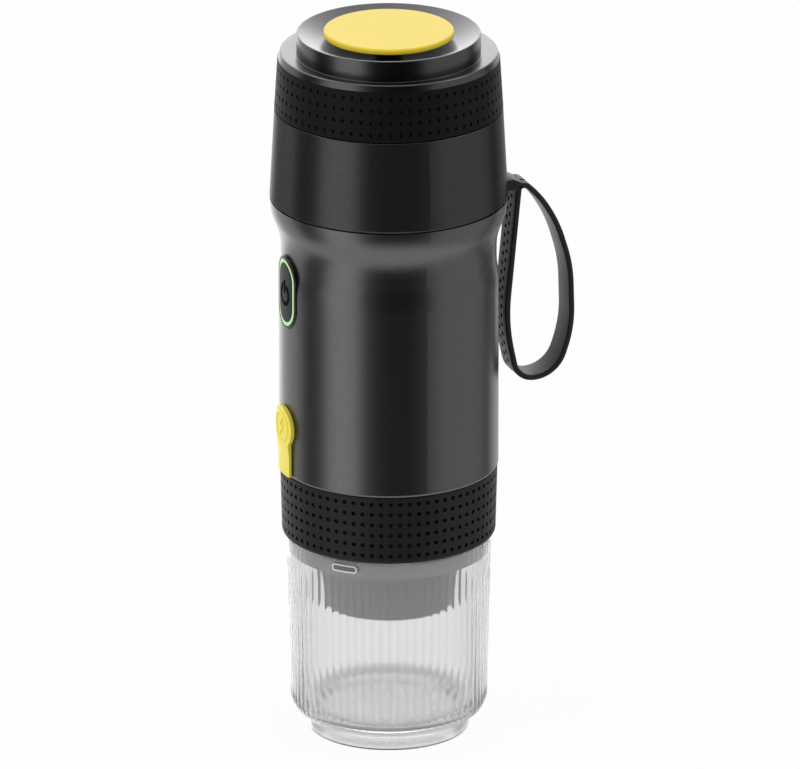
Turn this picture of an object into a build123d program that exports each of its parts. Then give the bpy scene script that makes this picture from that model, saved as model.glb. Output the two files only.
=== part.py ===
from build123d import *
import math
import os

os.makedirs("parts", exist_ok=True)

# Outline heights, stacked up from the table
cup_height = 65.4
chamber_band_height = 22.4
body_height = 88.5
upper_shell_height = 29.4
lid_band_height = 16.2
lip_height = 1.4
shoulder_rise = 1.1
rim_height = 6.2

# Outline radii: the body's, then the steps and tapers up to the lid and down to the foot
body_radius = 34.6
neck_depth = 0.7
shell_step = 2.9
shell_taper = 1.6
lid_taper = 1.0
rim_step = 6.0
band_step = 0.3
band_taper = 0.6
cup_step = 1.35
cup_taper = 1.15
foot_inset = 6.3

# Gaps per side: between pieces that part, that slide, that stay fixed, and that spin
seam = 0.3
slip = 0.2
snug = 0.05
running = 0.05

# Cup
foot_height = 4.8
foot_step = 0.6
cup_curve_height = 11.5
cup_wall = 1.75
cup_floor = 7.0
cup_corner = 7.0
vent_slot_length = 8.4
vent_slot_height = 2.4
vent_slot_drop = 2.7
vent_slot_azimuth = 43.6

# Brew chamber
band_wall = 1.2
band_edge = 1.6
holder_wall = 2.3
spigot_height = 6.2
spigot_wall = 2.2
grip_ring_section = 0.65
socket_depth = 11.1
deck_thickness = 2.4
capsule_margin = 9.2
capsule_flange = 3.4
capsule_flange_depth = 1.3
capsule_taper = 2.8
capsule_depth = 27.2
capsule_wall = 1.8
basket_ledge = 1.6
holder_floor = 1.8
outlet_radius = 3.0
nozzle_lip = 5.7
nozzle_wall = 1.6
nozzle_clear = 2.6
nozzle_flange = 2.0
pierce_thickness = 0.8
spike_height = 2.6
spike_radius = 1.5
spike_tip = 0.15
spike_count = 6
drain_radius = 0.7

# Quick thread between the brew chamber and the body
brew_lead = 30.0
brew_starts = 6
brew_thread_gap = 0.75
brew_rib = 1.4
brew_rib_thickness = 1.7

# Brew head
head_flange_thickness = 3.6
head_gap = 1.3
gasket_lap = 0.2
gasket_width = 4.4
gasket_fit = 0.15
gasket_height = 2.0
needle_radius = 1.6
needle_length = 6.0
gallery_radius = 8.0
gallery_height = 2.0
head_hollow_inset = 6.0
head_hollow_wall = 2.0
head_hollow_floor = 3.0

# Body shell
body_wall = 2.6
head_seat_step = 0.4
flare_height = 16.0
neck_length = 3.5
swell_height = 8.0

# Upper shell
upper_wall = 2.0
joint_lip_height = 2.2
joint_lip_wall = 1.8
ledge_thickness = 2.0
collar_flange = 2.9

# Tank and its threaded collar
tank_wall = 0.8
tank_flange = 1.6
tank_drop = 4.7
nipple_length = 8.0
nipple_wall = 0.6
collar_wall = 2.6
lid_thread_gap = 0.6
lid_lead = 24.0
lid_starts = 6
lid_rib = 1.2
lid_rib_thickness = 1.4

# Lid
liner_wall = 1.2
liner_plate = 2.2
lid_band_wall = 2.05
lid_gasket_width = 4.2
lid_gasket_height = 1.9
dish_slope = 6.9
cap_wall = 1.8
rim_land = 0.6
guide_wall = 1.8

# Vent button in the lid
vent_disc_gap = 1.5
vent_disc_thickness = 1.7
vent_rise = 0.5
vent_travel = 1.6
vent_hub_radius = 4.0
vent_stem_radius = 1.5
vent_hole_radius = 2.3
valve_radius = 4.6
valve_height = 1.8
spring_radius = 2.9
spring_wire = 0.35
spring_turns = 3.0

# Power button, on the front
button_drop = 27.9
bezel_tall = 24.0
bezel_wide = 15.5
bezel_proud = 0.4
bezel_inset = 2.1
ring_tall = 21.7
ring_wide = 13.4
ring_width = 1.05
ring_depth = 2.0
button_depth = 2.5
button_rim = 0.8
button_stem_radius = 1.6
bezel_flange = 1.2
bezel_flange_thickness = 1.2

# Control board and what it carries
board_gap = 1.7
board_thickness = 1.6
board_wide = 24.0
chip_side = 7.0
chip_height = 1.2
coil_side = 6.0
coil_height = 2.8
driver_wide = 5.0
driver_height = 1.4
connector_wide = 6.0
connector_height = 1.6
switch_side = 6.0
switch_depth = 2.8
plunger_radius = 1.5
plunger_length = 1.8
usb_wide = 9.0
usb_tall = 3.3
usb_wall = 0.35
usb_depth = 6.0

# Charge flap, on the front
flap_radius = 6.75
flap_centre_rise = 16.1
flap_stem_wide = 9.6
flap_thickness = 1.35
flap_gap = 0.15
flap_hinge_rise = 4.1
plug_wide = 7.6
plug_tall = 1.7
plug_reach = 2.4

# Carrying strap, on the back
strap_wide = 10.0
strap_thickness = 1.8
strap_hinge_reach = 2.6
strap_head_wide = 14.0
strap_head_tall = 6.4
strap_neck = 2.0
loop_outline = [
    (2.0, -0.9),
    (4.2, -0.2),
    (9.3, -5.2),
    (14.9, -14.4),
    (19.4, -29.0),
    (20.0, -49.5),
    (14.6, -65.6),
    (1.6, -64.8),
    (-2.4, -45.9),
]
loop_bends = [1.0, 2.4, 35.0, 45.0, 45.0, 38.0, 10.4, 6.4, 60.0]

# Frame, cells, motor and pump inside the body
frame_gap = 0.3
base_thickness = 4.0
cell_pocket = 2.0
frame_top_thickness = 2.2
post_share = 0.06875
cell_share = 0.2875
cell_gap_share = 0.047
cell_spread = 53.0
link_thickness = 0.3
link_wide = 7.0
side_post_share = (0.831, -0.25)
back_post_share = (0.403, 0.794)
pump_share = 0.25
pump_wall_share = 0.1134
pump_body_height = 13.0
pump_floor = 4.0
pump_cover_thickness = 3.0
pump_screw_share = (0.653, 0.463)
gear_teeth = 12
gear_share = 0.15625
addendum_share = 0.15
dedendum_share = 0.2
gear_tip_gap = 0.12
gear_backlash = 0.3
gear_end_gap = 0.15
shaft_radius = 1.25
pin_radius = 1.5
seal_radius = 3.0
seal_height = 1.8
motor_share = 0.375
motor_length_share = 0.446
motor_cap_height = 2.5
tube_radius = 3.0
tube_bore = 2.05
tube_share = 0.625
tube_bend = 5.0
pump_outlet_radius = 2.5
pump_outlet_length = 6.0
outlet_seal_section = 0.6
heater_gap = 0.6
heater_thickness = 4.0
insulator_height = 5.2
insulator_wall = 3.62
insulator_step = 1.0
cutout_radius = 4.5
cutout_height = 2.6

# Screws
screw_shank_radius = 0.95
screw_head_radius = 1.7
screw_head_height = 1.3
screw_drive = 0.75
screw_drive_depth = 0.8
screw_length = 9.0
screw_end_gap = 0.6

# Radii that follow from the body's
neck_radius = body_radius - neck_depth
upper_foot_radius = body_radius + shell_step
lid_foot_radius = upper_foot_radius - shell_taper
lid_top_radius = lid_foot_radius - lid_taper
rim_radius = lid_top_radius - rim_step
band_top_radius = body_radius - band_step
band_foot_radius = band_top_radius - band_taper
cup_rim_radius = band_foot_radius - cup_step
cup_base_radius = cup_rim_radius - cup_taper
foot_radius = cup_base_radius - foot_inset
body_bore = body_radius - body_wall
liner_radius = lid_top_radius - lid_band_wall - snug
liner_bore = liner_radius - liner_wall
collar_neck_radius = liner_bore - lid_thread_gap - lid_rib
tank_radius = collar_neck_radius - collar_wall - slip - tank_wall
collar_neck_height = seam + lid_band_height - liner_plate - lid_gasket_height
tank_depth = upper_shell_height + collar_neck_height + tank_drop

# Inner layout, in step with the bore and height of the body
cell_radius = cell_share * body_bore
cell_circle = body_bore - cell_radius - cell_gap_share * body_bore
post_radius = post_share * body_bore
pump_offset = -pump_share * body_bore
gear_pitch_radius = gear_share * body_bore
gear_addendum = addendum_share * gear_pitch_radius
gear_dedendum = dedendum_share * gear_pitch_radius
gear_cavity = gear_pitch_radius + gear_addendum + gear_tip_gap
pump_body_radius = gear_cavity + pump_wall_share * body_bore
motor_radius = motor_share * body_bore
tube_offset = tube_share * body_bore
bezel_face = body_radius + bezel_proud
bezel_seat = body_bore - bezel_inset
board_face = bezel_seat - bezel_flange_thickness - board_gap

# Levels up the axis
z_band_foot = cup_height + seam
z_band_top = z_band_foot + chamber_band_height
z_body_foot = z_band_top + seam
z_body_top = z_body_foot + body_height
z_shell_top = z_body_top + upper_shell_height
z_lid_foot = z_shell_top + seam
z_lid_band_top = z_lid_foot + lid_band_height
z_lip_top = z_lid_band_top + lip_height
z_shoulder = z_lip_top + shoulder_rise
z_rim = z_shoulder + rim_height


def turn(points, mode=Mode.ADD):
    """Revolve a closed outline of (radius, height) corners about the upright axis."""
    with BuildSketch(Plane.XZ) as outline:
        with BuildLine():
            Polyline(*points, close=True)
        make_face()
    revolve(outline.sketch, axis=Axis.Z, mode=mode)


def circles(piece, radius, height):
    """Round edges of a turned piece at one radius and height."""
    edges = piece.edges().filter_by(GeomType.CIRCLE)
    return edges.filter_by(lambda e: abs(e.radius - radius) < 0.01 and abs(e.arc_center.Z - height) < 0.01)


def double_curve(start, end):
    """Two equal arcs that leave one upright wall and run smoothly into another."""
    middle = ((start[0] + end[0]) / 2, (start[1] + end[1]) / 2)
    upright = math.copysign(1, end[1] - start[1])
    TangentArc(start, middle, tangent=(0, upright))
    TangentArc(end, middle, tangent=(0, -upright))


def thread_rib(root, crest, thickness, lead, arc):
    """One helical rib that starts on the X axis and climbs anticlockwise."""
    side = math.copysign(0.3, crest - root)
    with BuildPart() as rib:
        with BuildLine() as path:
            Helix(pitch=lead, height=lead * arc / 360, radius=root)
        with BuildSketch(Plane.XZ):
            with BuildLine():
                Polyline(
                    (root - side, -thickness / 2 - 0.25),
                    (crest, -thickness / 2),
                    (crest, thickness / 2),
                    (root - side, thickness / 2 + 0.25),
                    close=True,
                )
            make_face()
        sweep(path=path.line, is_frenet=True)
    return rib.part


def tooth_half_angle(radius, teeth, pitch, base, slack):
    """Half the angle that an involute tooth covers at one radius."""
    lean = math.acos(base / pitch)
    at = math.acos(min(1, base / radius))
    return math.pi / 2 / teeth - slack / 2 / pitch + math.tan(lean) - lean - math.tan(at) + at


def gear_outline(turned_by):
    """Corners of a spur gear about the origin, turned by some degrees."""
    base = gear_pitch_radius * math.cos(math.radians(25))
    root = gear_pitch_radius - gear_dedendum
    tip = gear_pitch_radius + gear_addendum
    below = (base + gear_pitch_radius) / 2
    above = (gear_pitch_radius + tip) / 2
    flank = [root, base, below, gear_pitch_radius, above, tip]
    halves = [tooth_half_angle(r, gear_teeth, gear_pitch_radius, base, gear_backlash) for r in flank]
    corners = []
    for tooth in range(gear_teeth):
        centre = math.radians(turned_by + 360 * tooth / gear_teeth)
        rising = [(r, centre - half) for r, half in zip(flank, halves)]
        falling = [(r, centre + half) for r, half in zip(flank, halves)]
        for r, angle in rising + falling[::-1]:
            corners.append((r * math.cos(angle), r * math.sin(angle)))
    return corners


def front_slot(tall, wide, face, depth, mode=Mode.ADD):
    """Upright rounded slot on the front: its outer face, then how deep it goes inward."""
    with BuildSketch(Plane.XZ.offset(face)) as outline:
        with Locations((0, z_button)):
            SlotOverall(tall, wide, rotation=90)
    extrude(outline.sketch, amount=-depth, mode=mode)


def round_front(radius):
    """Cut a front piece to a round face about the axis of the body."""
    with Locations((0, 0, z_button)):
        Cylinder(radius, 2 * bezel_tall, mode=Mode.INTERSECT)


# Cup, with a thick clear foot and a vent slot under its mouth
spigot_radius = cup_rim_radius - cup_wall - slip
cup_bore = spigot_radius + slip
z_vent_slot = cup_height - vent_slot_drop

with BuildPart() as cup:
    with BuildSketch(Plane.XZ):
        with BuildLine():
            Polyline(
                (0, 0),
                (foot_radius, 0),
                (foot_radius, foot_height),
                (foot_radius + foot_step, foot_height),
            )
            TangentArc(
                (cup_base_radius, cup_curve_height),
                (foot_radius + foot_step, foot_height),
                tangent=(0, -1),
            )
            Polyline(
                (cup_base_radius, cup_curve_height),
                (cup_rim_radius, cup_height),
                (cup_bore, cup_height),
                (cup_bore, cup_height - spigot_height - 1),
                (cup_base_radius - cup_wall, cup_floor),
                (0, cup_floor),
                (0, 0),
            )
        make_face()
    revolve(axis=Axis.Z)
    fillet(circles(cup.part, cup_base_radius - cup_wall, cup_floor), cup_corner)
    fillet(circles(cup.part, foot_radius, 0), 0.5)
    chamfer(circles(cup.part, cup_bore, cup_height), 0.3)
    fillet(circles(cup.part, cup_rim_radius, cup_height), 0.4)
    with BuildSketch(Plane.XZ.rotated((0, 0, vent_slot_azimuth)).offset(cup_base_radius - cup_wall - 3)):
        with Locations((0, z_vent_slot)):
            SlotOverall(vent_slot_length, vent_slot_height)
    extrude(amount=cup_wall + 6, mode=Mode.SUBTRACT)

# Grip band of the brew chamber
band_bore = band_foot_radius - band_wall

with BuildPart() as chamber_band:
    turn(
        [
            (band_bore, z_band_foot),
            (band_foot_radius, z_band_foot),
            (band_top_radius, z_band_top),
            (band_bore, z_band_top),
        ]
    )
    fillet(circles(chamber_band.part, band_foot_radius, z_band_foot), band_edge * 0.7)
    fillet(circles(chamber_band.part, band_top_radius, z_band_top), 0.3)

# Capsule holder: wall inside the band, spigot for the cup and a ledge for the basket
holder_radius = band_bore - snug
socket_radius = holder_radius - holder_wall
spigot_bore = spigot_radius - spigot_wall
z_deck = z_band_top - socket_depth
z_capsule_seat = z_deck - capsule_flange_depth
z_capsule_floor = z_capsule_seat - capsule_depth
z_holder_foot = z_capsule_floor - holder_floor
z_spigot_foot = z_band_foot - spigot_height
z_nozzle_seat = z_spigot_foot + nozzle_flange + 1.1
brew_core_radius = socket_radius - brew_rib - brew_thread_gap
capsule_flange_radius = brew_core_radius - capsule_margin
capsule_radius = capsule_flange_radius - capsule_flange
capsule_foot_radius = capsule_radius - capsule_taper
basket_radius = capsule_radius + capsule_wall
basket_flange_radius = capsule_flange_radius + capsule_wall
z_basket_ledge = z_deck - deck_thickness - snug
grip_ring_radius = spigot_radius + slip - snug - grip_ring_section
z_grip_ring = cup_height - 0.5
z_brew_rib = z_deck + 3.4
brew_pitch = brew_lead / brew_starts
brew_rib_arc = 34.0
brew_lug_arc = 20.0
brew_lug = thread_rib(
    socket_radius,
    brew_core_radius + brew_rib - 0.6,
    brew_rib_thickness,
    brew_lead,
    brew_lug_arc,
)

with BuildPart() as capsule_holder:
    turn(
        [
            (socket_radius, z_band_top),
            (holder_radius, z_band_top),
            (holder_radius, z_band_foot),
            (spigot_radius, z_band_foot),
            (spigot_radius, z_spigot_foot),
            (spigot_bore, z_spigot_foot),
            (spigot_bore, z_nozzle_seat),
            (spigot_bore - 1.2, z_nozzle_seat),
            (spigot_bore - 1.2, z_band_foot + holder_wall),
            (socket_radius, z_band_foot + holder_wall),
            (socket_radius, z_basket_ledge - basket_ledge),
            (basket_radius + slip, z_basket_ledge - basket_ledge),
            (basket_radius + slip, z_basket_ledge),
            (basket_flange_radius + snug, z_basket_ledge),
            (basket_flange_radius + snug, z_deck),
            (socket_radius, z_deck),
        ]
    )
    turn(
        [
            (grip_ring_radius - grip_ring_section - snug, z_grip_ring - grip_ring_section - snug),
            (spigot_radius + 1, z_grip_ring - grip_ring_section - snug),
            (spigot_radius + 1, z_grip_ring + grip_ring_section + snug),
            (grip_ring_radius - grip_ring_section - snug, z_grip_ring + grip_ring_section + snug),
        ],
        mode=Mode.SUBTRACT,
    )
    with BuildSketch(Plane.XZ.rotated((0, 0, vent_slot_azimuth)).offset(spigot_bore - 1)):
        with Locations((0, z_vent_slot)):
            SlotOverall(vent_slot_length + 1, vent_slot_height)
    extrude(amount=spigot_wall + 3, mode=Mode.SUBTRACT)
    with Locations((0, 0, z_brew_rib + brew_pitch / 2 + brew_lead * 7 / 360)):
        with PolarLocations(0, brew_starts, start_angle=7):
            add(brew_lug)

# Basket that drops into the holder and takes the capsule
with BuildPart() as capsule_basket:
    turn(
        [
            (basket_flange_radius, z_deck),
            (basket_flange_radius, z_deck - deck_thickness),
            (basket_radius, z_deck - deck_thickness),
            (capsule_foot_radius + capsule_wall, z_holder_foot),
            (outlet_radius, z_holder_foot),
            (outlet_radius, z_capsule_floor),
            (capsule_foot_radius, z_capsule_floor),
            (capsule_radius, z_capsule_seat),
            (capsule_flange_radius, z_capsule_seat),
            (capsule_flange_radius, z_deck),
        ]
    )

# Ring that grips the mouth of the cup
with BuildPart() as cup_grip_ring:
    with Locations((0, 0, z_grip_ring)):
        Torus(grip_ring_radius, grip_ring_section)

# Nozzle cover that clips in under the capsule well and pours into the cup
nozzle_radius = spigot_bore - nozzle_lip
z_nozzle_foot = z_holder_foot - nozzle_clear - nozzle_wall
z_nozzle_top = z_nozzle_seat - snug

with BuildPart() as nozzle_cover:
    turn(
        [
            (outlet_radius + 0.6, z_nozzle_foot),
            (nozzle_radius, z_nozzle_foot),
            (nozzle_radius, z_nozzle_top - nozzle_flange),
            (spigot_bore - snug, z_nozzle_top - nozzle_flange),
            (spigot_bore - snug, z_nozzle_top),
            (nozzle_radius - nozzle_wall, z_nozzle_top),
            (nozzle_radius - nozzle_wall, z_nozzle_foot + nozzle_wall),
            (outlet_radius + 2.2, z_nozzle_foot + nozzle_wall),
            (outlet_radius + 2.2, z_holder_foot - snug),
            (outlet_radius + 0.6, z_holder_foot - snug),
        ]
    )
    fillet(circles(nozzle_cover.part, nozzle_radius, z_nozzle_foot), 1.2)

# Plate with spikes that pierce the foot of the capsule
pierce_radius = capsule_foot_radius - slip

with BuildPart() as pierce_plate:
    with Locations((0, 0, z_capsule_floor + snug)):
        Cylinder(pierce_radius, pierce_thickness, align=(Align.CENTER, Align.CENTER, Align.MIN))
    with Locations((0, 0, z_capsule_floor + snug + pierce_thickness - 0.05)):
        with PolarLocations(pierce_radius * 0.6, spike_count):
            Cone(spike_radius, spike_tip, spike_height, align=(Align.CENTER, Align.CENTER, Align.MIN))
    with Locations((0, 0, z_capsule_floor)):
        with PolarLocations(pierce_radius * 0.28, 3):
            Cylinder(drain_radius, 3 * pierce_thickness, mode=Mode.SUBTRACT)

# Gasket that presses on the capsule flange
z_head_foot = z_deck + head_gap
gasket_inner_radius = capsule_radius - gasket_lap
z_gasket_foot = z_deck + gasket_fit
gasket_radius = gasket_inner_radius + gasket_width

with BuildPart() as brew_gasket:
    turn(
        [
            (gasket_inner_radius, z_gasket_foot),
            (gasket_radius, z_gasket_foot),
            (gasket_radius, z_gasket_foot + gasket_height),
            (gasket_inner_radius, z_gasket_foot + gasket_height),
        ]
    )
    fillet(circles(brew_gasket.part, gasket_inner_radius, z_gasket_foot), 0.4)
    fillet(circles(brew_gasket.part, gasket_radius, z_gasket_foot), 0.4)

# Brew head: threaded plug and flange that close the foot of the body
head_seat_radius = body_radius - body_wall + head_seat_step
head_flange_radius = head_seat_radius - snug
z_head_flange = z_body_foot + slip
z_head_top = z_head_flange + head_flange_thickness
z_gallery = z_head_top - head_flange_thickness - gallery_height
mesh_y = pump_offset + gear_pitch_radius
outlet_x = -gear_pitch_radius - gear_addendum + 0.2
screw_circle = (brew_core_radius + brew_rib + head_flange_radius) / 2 - 0.4
head_screws_at = [
    (screw_circle * math.cos(math.radians(a)), screw_circle * math.sin(math.radians(a)))
    for a in (90 - cell_spread / 2, 90 + cell_spread / 2, 205, 335)
]
brew_head_rib = thread_rib(
    brew_core_radius,
    brew_core_radius + brew_rib,
    brew_rib_thickness,
    brew_lead,
    brew_rib_arc,
)

with BuildPart() as brew_head:
    turn(
        [
            (0, z_head_foot),
            (brew_core_radius, z_head_foot),
            (brew_core_radius, z_head_flange),
            (head_flange_radius, z_head_flange),
            (head_flange_radius, z_head_top),
            (0, z_head_top),
        ]
    )
    turn(
        [
            (gasket_inner_radius - gasket_fit, z_head_foot - 1),
            (gasket_radius + gasket_fit, z_head_foot - 1),
            (gasket_radius + gasket_fit, z_gasket_foot + gasket_height + gasket_fit),
            (gasket_inner_radius - gasket_fit, z_gasket_foot + gasket_height + gasket_fit),
        ],
        mode=Mode.SUBTRACT,
    )
    turn(
        [
            (0, z_gallery),
            (gallery_radius, z_gallery),
            (gallery_radius, z_gallery + gallery_height),
            (0, z_gallery + gallery_height),
        ],
        mode=Mode.SUBTRACT,
    )
    turn(
        [
            (gallery_radius + head_hollow_inset, z_gasket_foot + gasket_height + head_hollow_floor),
            (brew_core_radius - head_hollow_wall, z_gasket_foot + gasket_height + head_hollow_floor),
            (brew_core_radius - head_hollow_wall, z_head_top + 1),
            (gallery_radius + head_hollow_inset, z_head_top + 1),
        ],
        mode=Mode.SUBTRACT,
    )
    with Locations((0, 0, z_head_foot)):
        Cylinder(
            needle_radius + snug,
            z_gallery - z_head_foot + 0.5,
            align=(Align.CENTER, Align.CENTER, Align.MIN),
            mode=Mode.SUBTRACT,
        )
    with Locations((outlet_x, mesh_y, z_gallery + gallery_height / 2)):
        Cylinder(
            pump_outlet_radius + slip,
            head_flange_thickness + gallery_height,
            align=(Align.CENTER, Align.CENTER, Align.MIN),
            mode=Mode.SUBTRACT,
        )
    with Locations((outlet_x, mesh_y, z_head_top)):
        Cylinder(
            pump_outlet_radius + 2 * outlet_seal_section + 2 * snug,
            2 * outlet_seal_section + snug,
            align=(Align.CENTER, Align.CENTER, Align.MAX),
            mode=Mode.SUBTRACT,
        )
    with Locations(*[(x, y, z_head_flange) for x, y in head_screws_at]):
        Cylinder(
            screw_shank_radius + snug,
            head_flange_thickness,
            align=(Align.CENTER, Align.CENTER, Align.MIN),
            mode=Mode.SUBTRACT,
        )
        Cylinder(
            screw_head_radius + snug,
            screw_head_height + slip,
            align=(Align.CENTER, Align.CENTER, Align.MIN),
            mode=Mode.SUBTRACT,
        )
    with Locations((0, 0, z_brew_rib)):
        with PolarLocations(0, brew_starts):
            add(brew_head_rib)

# Hollow needle that pierces the capsule lid
with BuildPart() as brew_needle:
    with Locations((0, 0, z_gallery)):
        Cylinder(needle_radius, z_gallery - z_head_foot, align=(Align.CENTER, Align.CENTER, Align.MAX))
    with Locations((0, 0, z_head_foot)):
        Cylinder(needle_radius, needle_length * 0.5, align=(Align.CENTER, Align.CENTER, Align.MAX))
    with Locations((0, 0, z_head_foot - needle_length)):
        Cone(0.2, needle_radius, needle_length * 0.5, align=(Align.CENTER, Align.CENTER, Align.MIN))
    with Locations((0, 0, z_head_foot - needle_length * 0.4)):
        Cylinder(
            needle_radius * 0.45,
            z_gallery - z_head_foot + needle_length,
            align=(Align.CENTER, Align.CENTER, Align.MIN),
            mode=Mode.SUBTRACT,
        )
    with Locations(Location((0, 0, z_head_foot - needle_length * 0.3), (90, 0, 0))):
        Cylinder(needle_radius * 0.4, 4 * needle_radius, mode=Mode.SUBTRACT)

# Body shell: straight grip, slight neck, then a flare out to the upper shell
z_button = z_body_top - button_drop
z_usb = z_body_foot + flap_centre_rise
z_flare_foot = z_body_top - flare_height
z_neck_foot = z_flare_foot - neck_length
z_swell_foot = z_neck_foot - swell_height
flare_radius = upper_foot_radius - 0.1
hinge_z = z_body_foot + flap_hinge_rise
anchor_top = hinge_z - flap_thickness / 2 - 0.35
anchor_tab_z = (z_body_foot + slip + anchor_top) / 2
strap_half = strap_thickness + 0.05
shell_bore = flare_radius - upper_wall

with BuildPart() as body_shell:
    with BuildSketch(Plane.XZ):
        with BuildLine():
            Polyline(
                (flare_radius, z_body_top),
                (shell_bore, z_body_top),
            )
            double_curve((shell_bore, z_body_top), (neck_radius - body_wall, z_flare_foot))
            Line((neck_radius - body_wall, z_flare_foot), (neck_radius - body_wall, z_neck_foot))
            double_curve((neck_radius - body_wall, z_neck_foot), (body_bore, z_swell_foot))
            Polyline(
                (body_bore, z_swell_foot),
                (body_bore, z_head_top),
                (head_seat_radius, z_head_top),
                (head_seat_radius, z_body_foot),
                (body_radius - 0.3, z_body_foot),
                (body_radius, z_body_foot + 0.6),
                (body_radius, z_swell_foot),
            )
            double_curve((body_radius, z_swell_foot), (neck_radius, z_neck_foot))
            Line((neck_radius, z_neck_foot), (neck_radius, z_flare_foot))
            double_curve((neck_radius, z_flare_foot), (flare_radius, z_body_top))
        make_face()
    revolve(axis=Axis.Z)
    front_slot(bezel_tall + 2 * snug, bezel_wide + 2 * snug, body_radius + 3, 10, mode=Mode.SUBTRACT)
    with BuildSketch(Plane.XZ.offset(body_radius + 3)):
        with Locations((0, z_usb)):
            RectangleRounded(usb_wide + 2 * slip, usb_tall + 2 * slip, usb_tall / 2)
    extrude(amount=-10, mode=Mode.SUBTRACT)
    with Locations((0, -body_radius, anchor_tab_z)):
        Box(6.0, 3.2, 1.4, mode=Mode.SUBTRACT)
    with Locations((0, upper_foot_radius, z_body_top)):
        Box(strap_wide + 2 * slip, 14, 2 * strap_half + 0.2, mode=Mode.SUBTRACT)

# Upper shell round the tank, with a lip down inside the body and a ledge for the collar
z_ledge = z_shell_top - collar_flange - snug
shell_slope = (upper_foot_radius - lid_foot_radius) / upper_shell_height
lip_radius = shell_bore - 0.35


def shell_inner(height):
    """Inner radius of the tapering upper shell at one height."""
    return upper_foot_radius - upper_wall - shell_slope * (height - z_body_top)


with BuildPart() as upper_shell:
    turn(
        [
            (upper_foot_radius, z_body_top),
            (lid_foot_radius, z_shell_top),
            (shell_inner(z_shell_top), z_shell_top),
            (shell_inner(z_ledge), z_ledge),
            (collar_neck_radius + 1.4, z_ledge),
            (collar_neck_radius + 1.4, z_ledge - ledge_thickness),
            (shell_inner(z_ledge - ledge_thickness), z_ledge - ledge_thickness),
            (shell_inner(z_body_top + joint_lip_height), z_body_top + joint_lip_height),
            (lip_radius - joint_lip_wall, z_body_top + joint_lip_height),
            (lip_radius - joint_lip_wall, z_body_top - joint_lip_height),
            (lip_radius, z_body_top - joint_lip_height),
            (lip_radius, z_body_top),
        ]
    )
    fillet(circles(upper_shell.part, upper_foot_radius, z_body_top), 0.9)
    fillet(circles(upper_shell.part, lid_foot_radius, z_shell_top), 0.3)
    with Locations((0, upper_foot_radius, z_body_top)):
        Box(strap_wide + 2 * slip, 14, 2 * strap_half + 0.2, mode=Mode.SUBTRACT)
    with Locations((0, upper_foot_radius - 5.6, z_body_top)):
        Box(strap_head_wide + 2 * slip, 6.4, strap_head_tall + 2 * slip, mode=Mode.SUBTRACT)

# Collar that carries the tank and the lid thread
collar_bore = collar_neck_radius - collar_wall
collar_flange_radius = shell_inner(z_shell_top) - snug
z_collar_top = z_shell_top + collar_neck_height
z_tank_flange = z_collar_top - tank_wall - 0.2
tank_flange_radius = tank_radius + tank_wall + tank_flange
lid_pitch = lid_lead / lid_starts
z_lid_rib = z_shell_top + 5.4
lid_rib_arc = 38.0
lid_lug_arc = 22.0
collar_rib = thread_rib(
    collar_neck_radius,
    collar_neck_radius + lid_rib,
    lid_rib_thickness,
    lid_lead,
    lid_rib_arc,
)

with BuildPart() as tank_collar:
    turn(
        [
            (collar_bore, z_ledge + snug),
            (collar_flange_radius, z_ledge + snug),
            (collar_flange_radius, z_shell_top),
            (collar_neck_radius, z_shell_top),
            (collar_neck_radius, z_collar_top),
            (tank_flange_radius + snug, z_collar_top),
            (tank_flange_radius + snug, z_tank_flange - snug),
            (collar_bore, z_tank_flange - snug),
        ]
    )
    with Locations((0, 0, z_lid_rib)):
        with PolarLocations(0, lid_starts):
            add(collar_rib)

# Stainless tank hung from the collar, with an outlet nipple in its floor
z_tank_top = z_tank_flange + tank_wall
z_tank_floor = z_tank_top - tank_depth
z_tank_foot = z_tank_floor - tank_wall
nipple_radius = tube_bore - snug

with BuildPart() as water_tank:
    turn(
        [
            (0, z_tank_foot),
            (tank_radius + tank_wall, z_tank_foot),
            (tank_radius + tank_wall, z_tank_flange),
            (tank_flange_radius, z_tank_flange),
            (tank_flange_radius, z_tank_top),
            (tank_radius, z_tank_top),
            (tank_radius, z_tank_floor),
            (0, z_tank_floor),
        ]
    )
    fillet(circles(water_tank.part, tank_radius, z_tank_floor), 2.0)
    fillet(circles(water_tank.part, tank_radius + tank_wall, z_tank_foot), 2.6)
    with Locations((tube_offset, mesh_y, z_tank_floor - 0.2)):
        Cylinder(nipple_radius, nipple_length, align=(Align.CENTER, Align.CENTER, Align.MAX))
    with Locations((tube_offset, mesh_y, z_tank_floor + 1)):
        Cylinder(
            nipple_radius - nipple_wall,
            nipple_length + 3,
            align=(Align.CENTER, Align.CENTER, Align.MAX),
            mode=Mode.SUBTRACT,
        )

# Heater under the tank, its thermal cut-out and the ring that insulates it from the frame
z_heater = z_tank_foot - snug - heater_thickness
heater_radius = math.hypot(tube_offset, mesh_y) - tube_radius - heater_gap
z_base = z_head_top + snug
z_base_top = z_base + base_thickness
z_insulator = z_heater - snug - insulator_height
z_frame_top = z_insulator - snug
z_frame_plate = z_frame_top - frame_top_thickness
z_links = z_frame_plate - snug - link_thickness
z_cells = z_base_top - cell_pocket + snug
cell_height = z_links - z_cells
insulator_radius = heater_radius - insulator_step
insulator_inner_radius = insulator_radius - insulator_wall

with BuildPart() as heater_plate:
    with Locations((0, 0, z_heater)):
        Cylinder(heater_radius, heater_thickness, align=(Align.CENTER, Align.CENTER, Align.MIN))
    chamfer(circles(heater_plate.part, heater_radius, z_heater), 0.6)

with BuildPart() as heat_insulator:
    with Locations((0, 0, z_insulator)):
        Cylinder(insulator_radius, insulator_height, align=(Align.CENTER, Align.CENTER, Align.MIN))
        Cylinder(
            insulator_inner_radius,
            insulator_height,
            align=(Align.CENTER, Align.CENTER, Align.MIN),
            mode=Mode.SUBTRACT,
        )

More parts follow.
